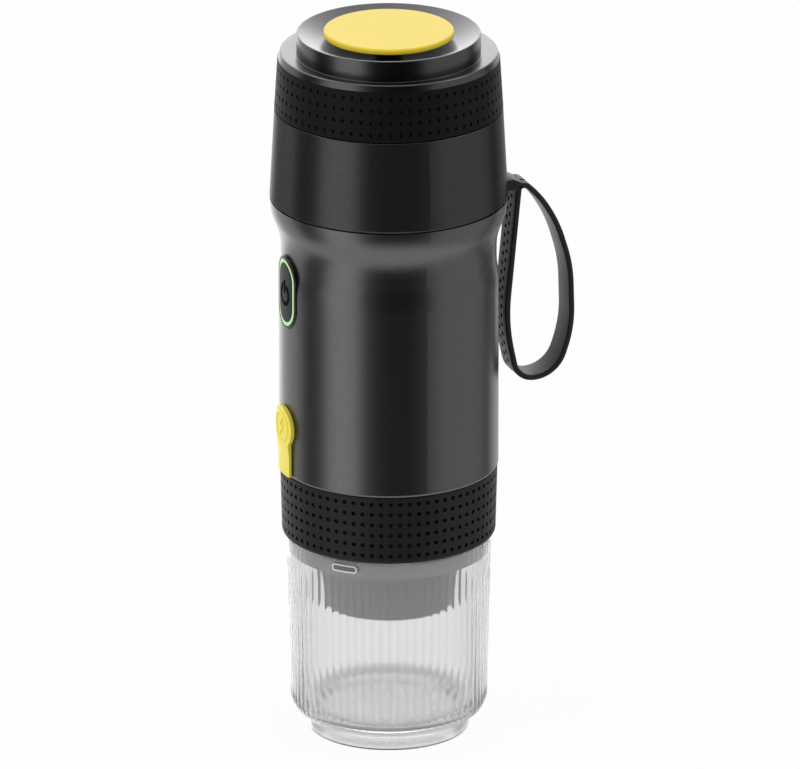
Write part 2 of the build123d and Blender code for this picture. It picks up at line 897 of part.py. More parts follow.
with BuildPart() as thermal_cutout:
    with Locations((0, 0, z_heater - snug)):
        Cylinder(cutout_radius, cutout_height, align=(Align.CENTER, Align.CENTER, Align.MAX))
    with Locations((0, 0, z_heater - snug - cutout_height / 2)):
        Box(1.5 * insulator_inner_radius, 2.0, 0.5)

# Frame: base plate with posts, then a top plate screwed down on them
frame_radius = body_bore - frame_gap
top_plate_radius = neck_radius - body_wall - frame_gap
post_points = [
    (side * x * body_bore, y * body_bore)
    for x, y in (side_post_share, back_post_share)
    for side in (1, -1)
]
cell_points = [
    (cell_circle * math.cos(math.radians(a)), cell_circle * math.sin(math.radians(a)))
    for a in (90 - cell_spread, 90, 90 + cell_spread)
]
outlet_point = (outlet_x, mesh_y)

with BuildPart() as frame_base:
    with Locations((0, 0, z_base)):
        Cylinder(frame_radius, base_thickness, align=(Align.CENTER, Align.CENTER, Align.MIN))
    with Locations(*[(x, y, z_base_top - 0.5) for x, y in post_points]):
        Cylinder(
            post_radius,
            z_frame_plate - snug - z_base_top + 0.5,
            align=(Align.CENTER, Align.CENTER, Align.MIN),
        )
    with Locations(*[(x, y, z_base_top - cell_pocket) for x, y in cell_points]):
        Cylinder(
            cell_radius + slip / 2,
            cell_pocket + 1,
            align=(Align.CENTER, Align.CENTER, Align.MIN),
            mode=Mode.SUBTRACT,
        )
    with Locations((*outlet_point, z_base)):
        Cylinder(
            pump_outlet_radius + slip,
            base_thickness,
            align=(Align.CENTER, Align.CENTER, Align.MIN),
            mode=Mode.SUBTRACT,
        )
    with Locations((0, -board_face + board_thickness / 2, z_base_top)):
        Box(board_wide + 2 * snug, board_thickness + 2 * snug, 2.0, mode=Mode.SUBTRACT)
    with Locations(*[(x, y, z_base) for x, y in head_screws_at]):
        Cylinder(
            screw_shank_radius + snug,
            base_thickness - screw_end_gap,
            align=(Align.CENTER, Align.CENTER, Align.MIN),
            mode=Mode.SUBTRACT,
        )
    with Locations(*[(x, y, z_frame_plate) for x, y in post_points]):
        Cylinder(
            screw_shank_radius + snug,
            screw_length,
            align=(Align.CENTER, Align.CENTER, Align.MAX),
            mode=Mode.SUBTRACT,
        )

with BuildPart() as frame_top:
    with Locations((0, 0, z_frame_plate)):
        Cylinder(top_plate_radius, frame_top_thickness, align=(Align.CENTER, Align.CENTER, Align.MIN))
    with Locations((tube_offset, mesh_y, z_frame_plate)):
        Cylinder(
            tube_radius + slip,
            frame_top_thickness,
            align=(Align.CENTER, Align.CENTER, Align.MIN),
            mode=Mode.SUBTRACT,
        )
    with Locations((0, -bezel_seat + bezel_flange_thickness + slip, z_frame_plate)):
        Box(
            2 * body_radius,
            body_radius,
            2 * frame_top_thickness,
            align=(Align.CENTER, Align.MAX, Align.CENTER),
            mode=Mode.SUBTRACT,
        )
    with Locations(*[(x, y, z_frame_top) for x, y in post_points]):
        Cylinder(
            screw_shank_radius + snug,
            frame_top_thickness,
            align=(Align.CENTER, Align.CENTER, Align.MAX),
            mode=Mode.SUBTRACT,
        )
        Cylinder(
            screw_head_radius + snug,
            screw_head_height,
            align=(Align.CENTER, Align.CENTER, Align.MAX),
            mode=Mode.SUBTRACT,
        )

# Three cells in parallel and the strips that join them
with BuildPart() as battery_cells:
    with Locations(*[(x, y, z_cells) for x, y in cell_points]):
        Cylinder(cell_radius, cell_height, align=(Align.CENTER, Align.CENTER, Align.MIN))
    fillet(battery_cells.edges().filter_by(GeomType.CIRCLE), 0.8)

with BuildPart() as cell_links:
    with BuildSketch(Plane.XY.offset(z_links)):
        for first, second in zip(cell_points, cell_points[1:]):
            with Locations(((first[0] + second[0]) / 2, (first[1] + second[1]) / 2)):
                SlotOverall(
                    math.dist(first, second) + link_wide,
                    link_wide,
                    rotation=math.degrees(math.atan2(second[1] - first[1], second[0] - first[0])),
                )
    extrude(amount=link_thickness)

# Gear pump on the frame base
idler_y = pump_offset + 2 * gear_pitch_radius
z_pump = z_base_top + snug
z_pump_top = z_pump + pump_body_height
z_gears = z_pump + pump_floor + gear_end_gap
gear_height = pump_body_height - pump_floor - 2 * gear_end_gap
z_port = z_pump + pump_floor + (pump_body_height - pump_floor) / 2
pump_screw_x = pump_screw_share[0] * pump_body_radius
pump_screw_y = pump_screw_share[1] * pump_body_radius
pump_screws_at = [
    (x, y)
    for x in (pump_screw_x, -pump_screw_x)
    for y in (pump_offset - pump_screw_y, idler_y + pump_screw_y)
]
barb_end = tube_offset - tube_bend

with BuildPart() as pump_body:
    with BuildSketch(Plane.XY.offset(z_pump)):
        with Locations((0, mesh_y)):
            SlotOverall(2 * pump_body_radius + 2 * gear_pitch_radius, 2 * pump_body_radius, rotation=90)
    extrude(amount=pump_body_height)
    with Locations(Location((pump_body_radius - 1, mesh_y, z_port), (0, 90, 0))):
        Cylinder(
            tube_bore - snug,
            barb_end - pump_body_radius + 1,
            align=(Align.CENTER, Align.CENTER, Align.MIN),
        )
    with Locations((*outlet_point, z_pump + 1)):
        Cylinder(
            pump_outlet_radius,
            pump_outlet_length + 1,
            align=(Align.CENTER, Align.CENTER, Align.MAX),
        )
    with Locations((0, pump_offset, z_pump + pump_floor), (0, idler_y, z_pump + pump_floor)):
        Cylinder(
            gear_cavity,
            pump_body_height,
            align=(Align.CENTER, Align.CENTER, Align.MIN),
            mode=Mode.SUBTRACT,
        )
    with Locations(Location((0, mesh_y, z_port), (0, 90, 0))):
        Cylinder(
            tube_bore - 0.8,
            barb_end + 1,
            align=(Align.CENTER, Align.CENTER, Align.MIN),
            mode=Mode.SUBTRACT,
        )
    with Locations((*outlet_point, z_port)):
        Cylinder(
            pump_outlet_radius - 1,
            pump_body_height + pump_outlet_length,
            align=(Align.CENTER, Align.CENTER, Align.MAX),
            mode=Mode.SUBTRACT,
        )
    with Locations((0, pump_offset, z_pump + 1.5)):
        Cylinder(
            shaft_radius + running,
            pump_body_height,
            align=(Align.CENTER, Align.CENTER, Align.MIN),
            mode=Mode.SUBTRACT,
        )
    with Locations((0, idler_y, z_pump + 1.5)):
        Cylinder(
            pin_radius + snug,
            pump_body_height,
            align=(Align.CENTER, Align.CENTER, Align.MIN),
            mode=Mode.SUBTRACT,
        )
    with Locations(*[(x, y, z_pump_top) for x, y in pump_screws_at]):
        Cylinder(
            screw_shank_radius + snug,
            screw_length - 1,
            align=(Align.CENTER, Align.CENTER, Align.MAX),
            mode=Mode.SUBTRACT,
        )

with BuildPart() as pump_cover:
    with BuildSketch(Plane.XY.offset(z_pump_top)):
        with Locations((0, mesh_y)):
            SlotOverall(2 * pump_body_radius + 2 * gear_pitch_radius, 2 * pump_body_radius, rotation=90)
    extrude(amount=pump_cover_thickness)
    with Locations((0, pump_offset, z_pump_top)):
        Cylinder(
            shaft_radius + running,
            pump_cover_thickness,
            align=(Align.CENTER, Align.CENTER, Align.MIN),
            mode=Mode.SUBTRACT,
        )
        Cylinder(
            seal_radius + snug,
            seal_height + snug,
            align=(Align.CENTER, Align.CENTER, Align.MIN),
            mode=Mode.SUBTRACT,
        )
    with Locations((0, idler_y, z_pump_top)):
        Cylinder(
            pin_radius + snug,
            1.6,
            align=(Align.CENTER, Align.CENTER, Align.MIN),
            mode=Mode.SUBTRACT,
        )
    with Locations(*[(x, y, z_pump_top + pump_cover_thickness) for x, y in pump_screws_at]):
        Cylinder(
            screw_shank_radius + snug,
            pump_cover_thickness,
            align=(Align.CENTER, Align.CENTER, Align.MAX),
            mode=Mode.SUBTRACT,
        )
        Cylinder(
            screw_head_radius + snug,
            screw_head_height + snug,
            align=(Align.CENTER, Align.CENTER, Align.MAX),
            mode=Mode.SUBTRACT,
        )

with BuildPart() as shaft_seal:
    with Locations((0, pump_offset, z_pump_top + snug / 2)):
        Cylinder(seal_radius, seal_height, align=(Align.CENTER, Align.CENTER, Align.MIN))
        Cylinder(
            shaft_radius + running,
            seal_height,
            align=(Align.CENTER, Align.CENTER, Align.MIN),
            mode=Mode.SUBTRACT,
        )

with BuildPart() as idler_pin:
    with Locations((0, idler_y, z_pump + 1.5 + snug)):
        Cylinder(pin_radius, pump_body_height, align=(Align.CENTER, Align.CENTER, Align.MIN))

with BuildPart() as drive_gear:
    with BuildSketch(Plane((0, pump_offset, z_gears))):
        with BuildLine():
            Polyline(*gear_outline(90), close=True)
        make_face()
    extrude(amount=gear_height)
    with Locations((0, pump_offset, z_gears)):
        Cylinder(
            shaft_radius + snug,
            3 * gear_height,
            mode=Mode.SUBTRACT,
        )

with BuildPart() as idler_gear:
    with BuildSketch(Plane((0, idler_y, z_gears))):
        with BuildLine():
            Polyline(*gear_outline(-90 + 180 / gear_teeth), close=True)
        make_face()
    extrude(amount=gear_height)
    with Locations((0, idler_y, z_gears)):
        Cylinder(
            pin_radius + running,
            3 * gear_height,
            mode=Mode.SUBTRACT,
        )

# Motor on the pump cover; its shaft runs down through the drive gear
motor_length = motor_length_share * cell_height
z_motor = z_pump_top + pump_cover_thickness + snug
z_motor_top = z_motor + motor_length

with BuildPart() as motor_can:
    with Locations((0, pump_offset, z_motor)):
        Cylinder(motor_radius, motor_length, align=(Align.CENTER, Align.CENTER, Align.MIN))
    fillet(circles(motor_can.part, motor_radius, z_motor), 1.0)
    with Locations((0, pump_offset, z_motor)):
        Cylinder(
            shaft_radius + running,
            motor_length,
            align=(Align.CENTER, Align.CENTER, Align.MIN),
            mode=Mode.SUBTRACT,
        )

with BuildPart() as motor_end_cap:
    with Locations((0, pump_offset, z_motor_top + snug)):
        Cylinder(motor_radius - 0.8, motor_cap_height, align=(Align.CENTER, Align.CENTER, Align.MIN))
    chamfer(circles(motor_end_cap.part, motor_radius - 0.8, z_motor_top + snug + motor_cap_height), 0.5)
    with Locations((0, pump_offset, z_motor_top + snug)):
        Cylinder(
            shaft_radius + running,
            motor_cap_height,
            align=(Align.CENTER, Align.CENTER, Align.MIN),
            mode=Mode.SUBTRACT,
        )

with BuildPart() as motor_shaft:
    with Locations((0, pump_offset, z_pump + 1.6)):
        Cylinder(
            shaft_radius,
            z_motor_top + motor_cap_height - z_pump - 1.6 + 0.8,
            align=(Align.CENTER, Align.CENTER, Align.MIN),
        )

# Hose from the tank outlet down to the pump inlet
z_hose_top = z_tank_foot - 0.4

with BuildPart() as inlet_hose:
    with BuildLine() as hose_path:
        FilletPolyline(
            (pump_body_radius + 0.2, mesh_y, z_port),
            (tube_offset, mesh_y, z_port),
            (tube_offset, mesh_y, z_hose_top),
            radius=tube_bend,
        )
    with BuildSketch(Plane(origin=hose_path.line @ 0, z_dir=hose_path.line % 0)):
        Circle(tube_radius)
        Circle(tube_bore, mode=Mode.SUBTRACT)
    sweep(path=hose_path.line)

# Ring that seals the pump outlet in the brew head
with BuildPart() as outlet_seal:
    with Locations((*outlet_point, z_head_top - outlet_seal_section)):
        Torus(pump_outlet_radius + outlet_seal_section + snug, outlet_seal_section)

# Screws of the brew head, of the frame and of the pump cover
with BuildPart() as head_screws:
    with Locations(*[(x, y, z_head_flange + slip) for x, y in head_screws_at]):
        Cylinder(screw_head_radius, screw_head_height, align=(Align.CENTER, Align.CENTER, Align.MIN))
        Cylinder(
            screw_shank_radius,
            head_flange_thickness + base_thickness - screw_end_gap - 4 * slip,
            align=(Align.CENTER, Align.CENTER, Align.MIN),
        )
    with BuildSketch(Plane.XY.offset(z_head_flange + slip)):
        with Locations(*head_screws_at):
            RegularPolygon(screw_drive, 6)
    extrude(amount=screw_drive_depth, mode=Mode.SUBTRACT)

with BuildPart() as frame_screws:
    with Locations(*[(x, y, z_frame_top - snug) for x, y in post_points]):
        Cylinder(screw_head_radius, screw_head_height - snug, align=(Align.CENTER, Align.CENTER, Align.MAX))
        Cylinder(screw_shank_radius, screw_length, align=(Align.CENTER, Align.CENTER, Align.MAX))
    with BuildSketch(Plane.XY.offset(z_frame_top - snug)):
        with Locations(*post_points):
            RegularPolygon(screw_drive, 6)
    extrude(amount=-screw_drive_depth, mode=Mode.SUBTRACT)

with BuildPart() as pump_screws:
    with Locations(*[(x, y, z_pump_top + pump_cover_thickness - snug) for x, y in pump_screws_at]):
        Cylinder(screw_head_radius, screw_head_height - snug, align=(Align.CENTER, Align.CENTER, Align.MAX))
        Cylinder(screw_shank_radius, screw_length, align=(Align.CENTER, Align.CENTER, Align.MAX))
    with BuildSketch(Plane.XY.offset(z_pump_top + pump_cover_thickness - snug)):
        with Locations(*pump_screws_at):
            RegularPolygon(screw_drive, 6)
    extrude(amount=-screw_drive_depth, mode=Mode.SUBTRACT)

# Control board, upright behind the button and the charging socket
z_board = z_base_top - 1.0 + snug
board_tall = z_frame_plate - 0.3 - z_board

with BuildPart() as control_board:
    with Locations((0, -board_face + board_thickness / 2, z_board)):
        Box(board_wide, board_thickness, board_tall, align=(Align.CENTER, Align.CENTER, Align.MIN))

with BuildPart() as board_parts:
    with Locations((0, -board_face + board_thickness, z_board + 0.45 * board_tall)):
        Box(chip_side, chip_height, chip_side, align=(Align.CENTER, Align.MIN, Align.CENTER))
    with Locations((-0.21 * board_wide, -board_face + board_thickness, z_board + 0.25 * board_tall)):
        Box(coil_side, coil_height, coil_side, align=(Align.CENTER, Align.MIN, Align.CENTER))
    with Locations((0.21 * board_wide, -board_face + board_thickness, z_board + 0.25 * board_tall)):
        Box(driver_wide, driver_height, 0.8 * driver_wide, align=(Align.CENTER, Align.MIN, Align.CENTER))
    with Locations((0.17 * board_wide, -board_face + board_thickness, z_board + 0.7 * board_tall)):
        Box(
            connector_wide,
            connector_height,
            0.8 * connector_wide,
            align=(Align.CENTER, Align.MIN, Align.CENTER),
        )

usb_mouth_wide = usb_wide - 2 * usb_wall
usb_mouth_tall = usb_tall - 2 * usb_wall

with BuildPart() as usb_socket:
    with BuildSketch(Plane.XZ.offset(board_face)):
        with Locations((0, z_usb)):
            RectangleRounded(usb_wide, usb_tall, usb_tall * 0.48)
    extrude(amount=usb_depth)
    with BuildSketch(Plane.XZ.offset(board_face + 0.8)):
        with Locations((0, z_usb)):
            RectangleRounded(usb_mouth_wide, usb_mouth_tall, usb_mouth_tall * 0.48)
    extrude(amount=usb_depth, mode=Mode.SUBTRACT)
    with Locations((0, -board_face - 0.7, z_usb)):
        Box(usb_wide - 2.2, usb_depth - 2.2, 0.7, align=(Align.CENTER, Align.MAX, Align.CENTER))

# Power switch, its plunger, the button, its light ring and its raised bezel
plunger_face = board_face + switch_depth + 1.0

with BuildPart() as power_switch:
    with Locations((0, -board_face, z_button)):
        Box(switch_side, switch_depth, switch_side, align=(Align.CENTER, Align.MAX, Align.CENTER))
    with Locations(Location((0, -board_face - 1.0, z_button), (90, 0, 0))):
        Cylinder(
            plunger_radius + 0.1,
            switch_depth,
            align=(Align.CENTER, Align.CENTER, Align.MIN),
            mode=Mode.SUBTRACT,
        )

with BuildPart() as switch_plunger:
    with Locations(Location((0, -plunger_face, z_button), (90, 0, 0))):
        Cylinder(plunger_radius, plunger_length, align=(Align.CENTER, Align.CENTER, Align.MAX))

light_face = bezel_face - 0.15
button_face = bezel_face - 0.05
button_tall = ring_tall - 2 * ring_width - 2 * 0.15
button_wide = ring_wide - 2 * ring_width - 2 * 0.15

with BuildPart() as button_bezel:
    front_slot(bezel_tall, bezel_wide, bezel_face + 1, bezel_face + 1 - bezel_seat)
    round_front(bezel_face)
    fillet(button_bezel.faces().sort_by(Axis.Y)[0].edges(), 0.5)
    front_slot(
        bezel_tall + 2 * bezel_flange,
        bezel_wide + 2 * bezel_flange,
        bezel_seat,
        bezel_flange_thickness,
    )
    front_slot(ring_tall + 2 * snug, ring_wide + 2 * snug, bezel_face + 1, 10, mode=Mode.SUBTRACT)

with BuildPart() as light_ring:
    front_slot(ring_tall, ring_wide, light_face + 1, ring_depth + 1)
    round_front(light_face)
    front_slot(
        ring_tall - 2 * ring_width,
        ring_wide - 2 * ring_width,
        light_face + 2,
        ring_depth + 4,
        mode=Mode.SUBTRACT,
    )

with BuildPart() as power_button:
    front_slot(button_tall, button_wide, button_face + 1, button_depth + 1)
    round_front(button_face)
    fillet(power_button.faces().sort_by(Axis.Y)[0].edges(), 0.4)
    front_slot(ring_tall - 0.8, ring_wide - 0.8, light_face - ring_depth - 0.3, button_rim)
    with Locations(Location((0, -plunger_face, z_button), (90, 0, 0))):
        Cylinder(
            button_stem_radius,
            light_face - ring_depth - 0.3 - plunger_face,
            align=(Align.CENTER, Align.CENTER, Align.MIN),
        )

# Charge flap, a soft keyhole tab, and the anchor that it hangs from
flap_inner = body_radius + flap_gap
flap_outer = flap_inner + flap_thickness
flap_foot = hinge_z + 0.3

with BuildPart() as charge_flap:
    with BuildSketch(Plane.XZ.offset(body_radius - 6)):
        with Locations((0, z_usb)):
            Circle(flap_radius)
        with Locations((0, flap_foot)):
            Rectangle(flap_stem_wide, z_usb - flap_foot, align=(Align.CENTER, Align.MIN))
    extrude(amount=12)
    turn(
        [
            (flap_inner, z_body_foot),
            (flap_outer, z_body_foot),
            (flap_outer, z_button),
            (flap_inner, z_button),
        ],
        mode=Mode.INTERSECT,
    )
    with Locations(Location((0, -flap_inner - flap_thickness / 2, hinge_z), (0, 90, 0))):
        Cylinder(flap_thickness / 2, flap_stem_wide)
    with BuildSketch(Plane.XZ.offset(flap_inner + 0.4)):
        with Locations((0, z_usb)):
            RectangleRounded(plug_wide, plug_tall, plug_tall * 0.45)
    extrude(amount=-plug_reach - 0.4)

with BuildPart() as flap_anchor:
    with BuildSketch(Plane.XZ.offset(body_radius - 6)):
        with Locations((0, z_body_foot + slip)):
            Rectangle(flap_stem_wide, anchor_top - z_body_foot - slip, align=(Align.CENTER, Align.MIN))
    extrude(amount=12)
    turn(
        [
            (body_radius + snug, z_body_foot),
            (flap_outer, z_body_foot),
            (flap_outer, z_button),
            (body_radius + snug, z_button),
        ],
        mode=Mode.INTERSECT,
    )
    with Locations((0, -body_radius - 0.4, anchor_tab_z)):
        Box(5.8, 1.8, 1.2, align=(Align.CENTER, Align.MIN, Align.CENTER))

# Carrying strap: a stub held in the joint of the shells, and the loop that hangs from it
strap_y = upper_foot_radius + strap_hinge_reach
strap_stub_end = strap_y - strap_half - 0.3
loop_corners = [(strap_y + reach, z_body_top + rise) for reach, rise in loop_outline]

with BuildPart() as strap_stub:
    with Locations((0, upper_foot_radius - 5.4, z_body_top)):
        Box(
            strap_wide,
            strap_stub_end - upper_foot_radius + 5.4,
            2 * strap_half,
            align=(Align.CENTER, Align.MIN, Align.CENTER),
        )
    with Locations((0, upper_foot_radius - 5.6, z_body_top)):
        Box(strap_head_wide, 2.6, strap_head_tall, align=(Align.CENTER, Align.CENTER, Align.CENTER))

with BuildPart() as strap_loop:
    with BuildSketch(Plane.YZ):
        with BuildLine():
            FilletPolyline(*loop_corners, radius=loop_bends, close=True)
        make_face()
        offset(amount=strap_thickness / 2)
    extrude(amount=strap_wide / 2, both=True)
    with BuildSketch(Plane.YZ):
        with Locations((strap_y, z_body_top)):
            Circle(strap_half)
        with Locations((strap_y, z_body_top)):
            Rectangle(strap_neck, 2 * strap_half, align=(Align.MIN, Align.CENTER))
    extrude(amount=strap_wide / 2, both=True)
    with BuildSketch(Plane.YZ):
        with BuildLine():
            FilletPolyline(*loop_corners, radius=loop_bends, close=True)
        make_face()
        offset(amount=-strap_thickness / 2)
    extrude(amount=strap_wide, both=True, mode=Mode.SUBTRACT)

# Lid: threaded liner, grip band and cap with a dished top
z_liner_plate = z_lid_band_top - liner_plate
liner_lug = thread_rib(
    liner_bore,
    collar_neck_radius + lid_rib - 0.5,
    lid_rib_thickness,
    lid_lead,
    lid_lug_arc,
)

with BuildPart() as lid_liner:
    turn(
        [
            (liner_bore, z_lid_foot + slip),
            (liner_radius, z_lid_foot + slip),
            (liner_radius, z_lid_band_top),
            (vent_hole_radius, z_lid_band_top),
            (vent_hole_radius, z_liner_plate),
            (liner_bore, z_liner_plate),
        ]
    )
    with Locations((0, 0, z_lid_rib - lid_pitch / 2 + lid_lead * 8 / 360)):
        with PolarLocations(0, lid_starts, start_angle=8):
            add(liner_lug)

with BuildPart() as lid_band:
    turn(
        [
            (liner_radius + snug, z_lid_foot),
            (lid_foot_radius, z_lid_foot),
            (lid_top_radius, z_lid_band_top),
            (liner_radius + snug, z_lid_band_top),
        ]
    )
    fillet(circles(lid_band.part, lid_foot_radius, z_lid_foot), 0.4)

z_gasket_lid = z_collar_top + 0.1
lid_gasket_outer = collar_neck_radius + 1.2

with BuildPart() as lid_gasket:
    turn(
        [
            (lid_gasket_outer - lid_gasket_width, z_gasket_lid),
            (lid_gasket_outer, z_gasket_lid),
            (lid_gasket_outer, z_liner_plate - 0.1),
            (lid_gasket_outer - lid_gasket_width, z_liner_plate - 0.1),
        ]
    )
    fillet(circles(lid_gasket.part, lid_gasket_outer, z_gasket_lid), 0.4)
    fillet(circles(lid_gasket.part, lid_gasket_outer - lid_gasket_width, z_gasket_lid), 0.4)

z_cap_foot = z_lid_band_top + snug
dish_edge = rim_radius - rim_land
dish_floor_radius = rim_radius - dish_slope
vent_disc_radius = dish_floor_radius - vent_disc_gap
guide_bore = vent_hub_radius + 0.1
z_disc_top = z_rim + vent_rise
z_disc_foot = z_disc_top - vent_disc_thickness
z_dish = z_disc_foot - vent_travel - seam
z_hub_foot = z_disc_foot - vent_travel - 2.0

with BuildPart() as lid_cap:
    turn(
        [
            (rim_radius - cap_wall, z_cap_foot),
            (lid_top_radius, z_cap_foot),
            (lid_top_radius, z_lip_top),
            (rim_radius, z_shoulder),
            (rim_radius, z_rim),
            (dish_edge, z_rim),
            (dish_floor_radius, z_dish),
            (guide_bore, z_dish),
            (guide_bore, z_cap_foot),
            (guide_bore + guide_wall, z_cap_foot),
            (guide_bore + guide_wall, z_dish - cap_wall),
            (dish_floor_radius - 0.4, z_dish - cap_wall),
            (rim_radius - cap_wall, z_rim - 2 * cap_wall),
        ]
    )
    fillet(circles(lid_cap.part, lid_top_radius, z_lip_top), 0.8)
    fillet(circles(lid_cap.part, rim_radius, z_shoulder), 0.6)
    fillet(circles(lid_cap.part, rim_radius, z_rim), 0.35)

# Vent button: disc on a hub, a stem with a valve head, and the spring that lifts it
z_valve_top = z_liner_plate - 0.1
z_valve_foot = z_valve_top - valve_height

with BuildPart() as vent_button:
    turn(
        [
            (0, z_hub_foot),
            (vent_hub_radius, z_hub_foot),
            (vent_hub_radius, z_disc_foot),
            (vent_disc_radius, z_disc_foot),
            (vent_disc_radius, z_disc_top),
            (0, z_disc_top),
        ]
    )
    fillet(circles(vent_button.part, vent_disc_radius, z_disc_top), 0.8)
    fillet(circles(vent_button.part, vent_disc_radius, z_disc_foot), 0.4)
    with Locations((0, 0, z_hub_foot)):
        Cylinder(vent_stem_radius + snug, 6, mode=Mode.SUBTRACT)

with BuildPart() as vent_stem:
    with Locations((0, 0, z_hub_foot + 3 - snug)):
        Cylinder(
            vent_stem_radius,
            z_hub_foot + 3 - snug - z_valve_foot + 0.1,
            align=(Align.CENTER, Align.CENTER, Align.MAX),
        )
    with Locations((0, 0, z_valve_foot - 0.05)):
        Cylinder(vent_stem_radius + 1.2, 0.9, align=(Align.CENTER, Align.CENTER, Align.MAX))

with BuildPart() as vent_valve:
    with Locations((0, 0, z_valve_foot)):
        Cylinder(valve_radius, valve_height, align=(Align.CENTER, Align.CENTER, Align.MIN))
        Cylinder(
            vent_stem_radius + snug,
            valve_height,
            align=(Align.CENTER, Align.CENTER, Align.MIN),
            mode=Mode.SUBTRACT,
        )

z_spring = z_lid_band_top + spring_wire + 0.02
spring_height = z_hub_foot - 0.02 - spring_wire - z_spring

with BuildPart() as vent_spring:
    with BuildLine() as coil:
        Helix(
            pitch=spring_height / spring_turns,
            height=spring_height,
            radius=spring_radius,
            center=(0, 0, z_spring),
        )
    with BuildSketch(Plane(origin=coil.line @ 0, z_dir=coil.line % 0)):
        Circle(spring_wire)
    sweep(path=coil.line, is_frenet=True)

pieces = {
    "cup": cup,
    "chamber_band": chamber_band,
    "capsule_holder": capsule_holder,
    "capsule_basket": capsule_basket,
    "cup_grip_ring": cup_grip_ring,
    "nozzle_cover": nozzle_cover,
    "pierce_plate": pierce_plate,
    "brew_gasket": brew_gasket,
    "brew_head": brew_head,
    "brew_needle": brew_needle,
    "body_shell": body_shell,
    "upper_shell": upper_shell,
    "tank_collar": tank_collar,
    "water_tank": water_tank,
    "heater_plate": heater_plate,
    "heat_insulator": heat_insulator,
    "thermal_cutout": thermal_cutout,
    "frame_base": frame_base,
    "frame_top": frame_top,
    "battery_cells": battery_cells,
    "cell_links": cell_links,
    "pump_body": pump_body,
    "pump_cover": pump_cover,
    "shaft_seal": shaft_seal,
    "idler_pin": idler_pin,
    "drive_gear": drive_gear,
    "idler_gear": idler_gear,
    "motor_can": motor_can,
    "motor_end_cap": motor_end_cap,
    "motor_shaft": motor_shaft,
    "inlet_hose": inlet_hose,
    "outlet_seal": outlet_seal,
    "head_screws": head_screws,
    "frame_screws": frame_screws,
    "pump_screws": pump_screws,
    "control_board": control_board,
    "board_parts": board_parts,
    "usb_socket": usb_socket,
    "power_switch": power_switch,
    "switch_plunger": switch_plunger,
    "button_bezel": button_bezel,
    "light_ring": light_ring,
    "power_button": power_button,
    "charge_flap": charge_flap,
    "flap_anchor": flap_anchor,
    "strap_stub": strap_stub,
    "strap_loop": strap_loop,
    "lid_liner": lid_liner,
    "lid_band": lid_band,
    "lid_gasket": lid_gasket,
    "lid_cap": lid_cap,
    "vent_button": vent_button,
    "vent_stem": vent_stem,
    "vent_valve": vent_valve,
    "vent_spring": vent_spring,
}

for name, piece in pieces.items():
    piece.part.label = name
    export_step(piece.part, f"parts/{name}.step")
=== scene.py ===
import logging
import math
from dataclasses import dataclass
from enum import Enum
from functools import cache
from typing import Any, Callable, Sequence, Union

import bmesh
import bpy
from mathutils import Matrix, Vector


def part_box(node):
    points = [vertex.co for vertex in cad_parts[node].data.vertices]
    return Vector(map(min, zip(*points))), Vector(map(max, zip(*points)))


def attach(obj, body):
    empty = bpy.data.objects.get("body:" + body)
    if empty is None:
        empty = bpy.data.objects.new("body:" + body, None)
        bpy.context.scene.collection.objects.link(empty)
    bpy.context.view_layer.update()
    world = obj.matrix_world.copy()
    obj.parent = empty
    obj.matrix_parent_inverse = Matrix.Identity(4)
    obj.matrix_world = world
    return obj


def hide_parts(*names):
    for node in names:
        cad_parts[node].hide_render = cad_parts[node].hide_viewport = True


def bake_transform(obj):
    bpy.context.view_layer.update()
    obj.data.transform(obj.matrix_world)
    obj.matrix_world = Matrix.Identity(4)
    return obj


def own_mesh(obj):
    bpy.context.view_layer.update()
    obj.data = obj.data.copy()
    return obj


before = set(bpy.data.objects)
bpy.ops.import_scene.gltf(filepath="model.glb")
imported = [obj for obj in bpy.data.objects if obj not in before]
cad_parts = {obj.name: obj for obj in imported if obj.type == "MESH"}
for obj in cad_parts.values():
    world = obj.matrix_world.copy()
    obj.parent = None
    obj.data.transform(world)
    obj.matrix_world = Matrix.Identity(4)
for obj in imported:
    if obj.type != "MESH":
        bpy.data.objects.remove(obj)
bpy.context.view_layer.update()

# One millimetre in metres. All other lengths are in millimetres, unless a docstring says metres.
MM = 0.001
# Points closer than the first gap are one point, and a seam closes over the second.
MEET_GAP = 0.002
SEAM_GAP = 0.01
# What lies this near to a line or plane counts as on it.
NEAR = 0.02
# Stands a flat primitive up to face the front.
UPRIGHT = (math.pi / 2, 0, 0)
WHITE = (1.0, 1.0, 1.0)
# Settings of a modifier that merges the points where its copies meet.
WELDED = {"use_merge_vertices": True, "merge_threshold": MEET_GAP * MM}
# Colour sockets of a Mix node, by number, because their names come again for each type of value.
MIX_UNDER, MIX_OVER, MIX_RESULT = 6, 7, 2
# Flutes round the cup and the height where they end, which its shape and its finish share.
FLUTES = 72
FLUTE_TOP = 59.4
log = logging.getLogger("espresso_maker")

Colour = tuple[float, float, float]
Point = tuple[float, float]
Number = Union[float, "Sock"]
Test = Callable[[Vector], bool]


class Calc(Enum):
    """Sums that a Math node does."""

    ADD = "ADD"
    SUBTRACT = "SUBTRACT"
    MULTIPLY = "MULTIPLY"
    DIVIDE = "DIVIDE"
    POWER = "POWER"
    MAXIMUM = "MAXIMUM"
    ABOVE = "GREATER_THAN"
    COSINE = "COSINE"
    ANGLE = "ARCTAN2"


class Layer(Enum):
    """How one colour goes over another."""

    COVER = "MIX"
    # Multiplies a painted shade onto a colour.
    STAIN = "MULTIPLY"


class Pick(Enum):
    """What a selection is made of."""

    VERTS = "VERT"
    EDGES = "EDGE"
    FACES = "FACE"


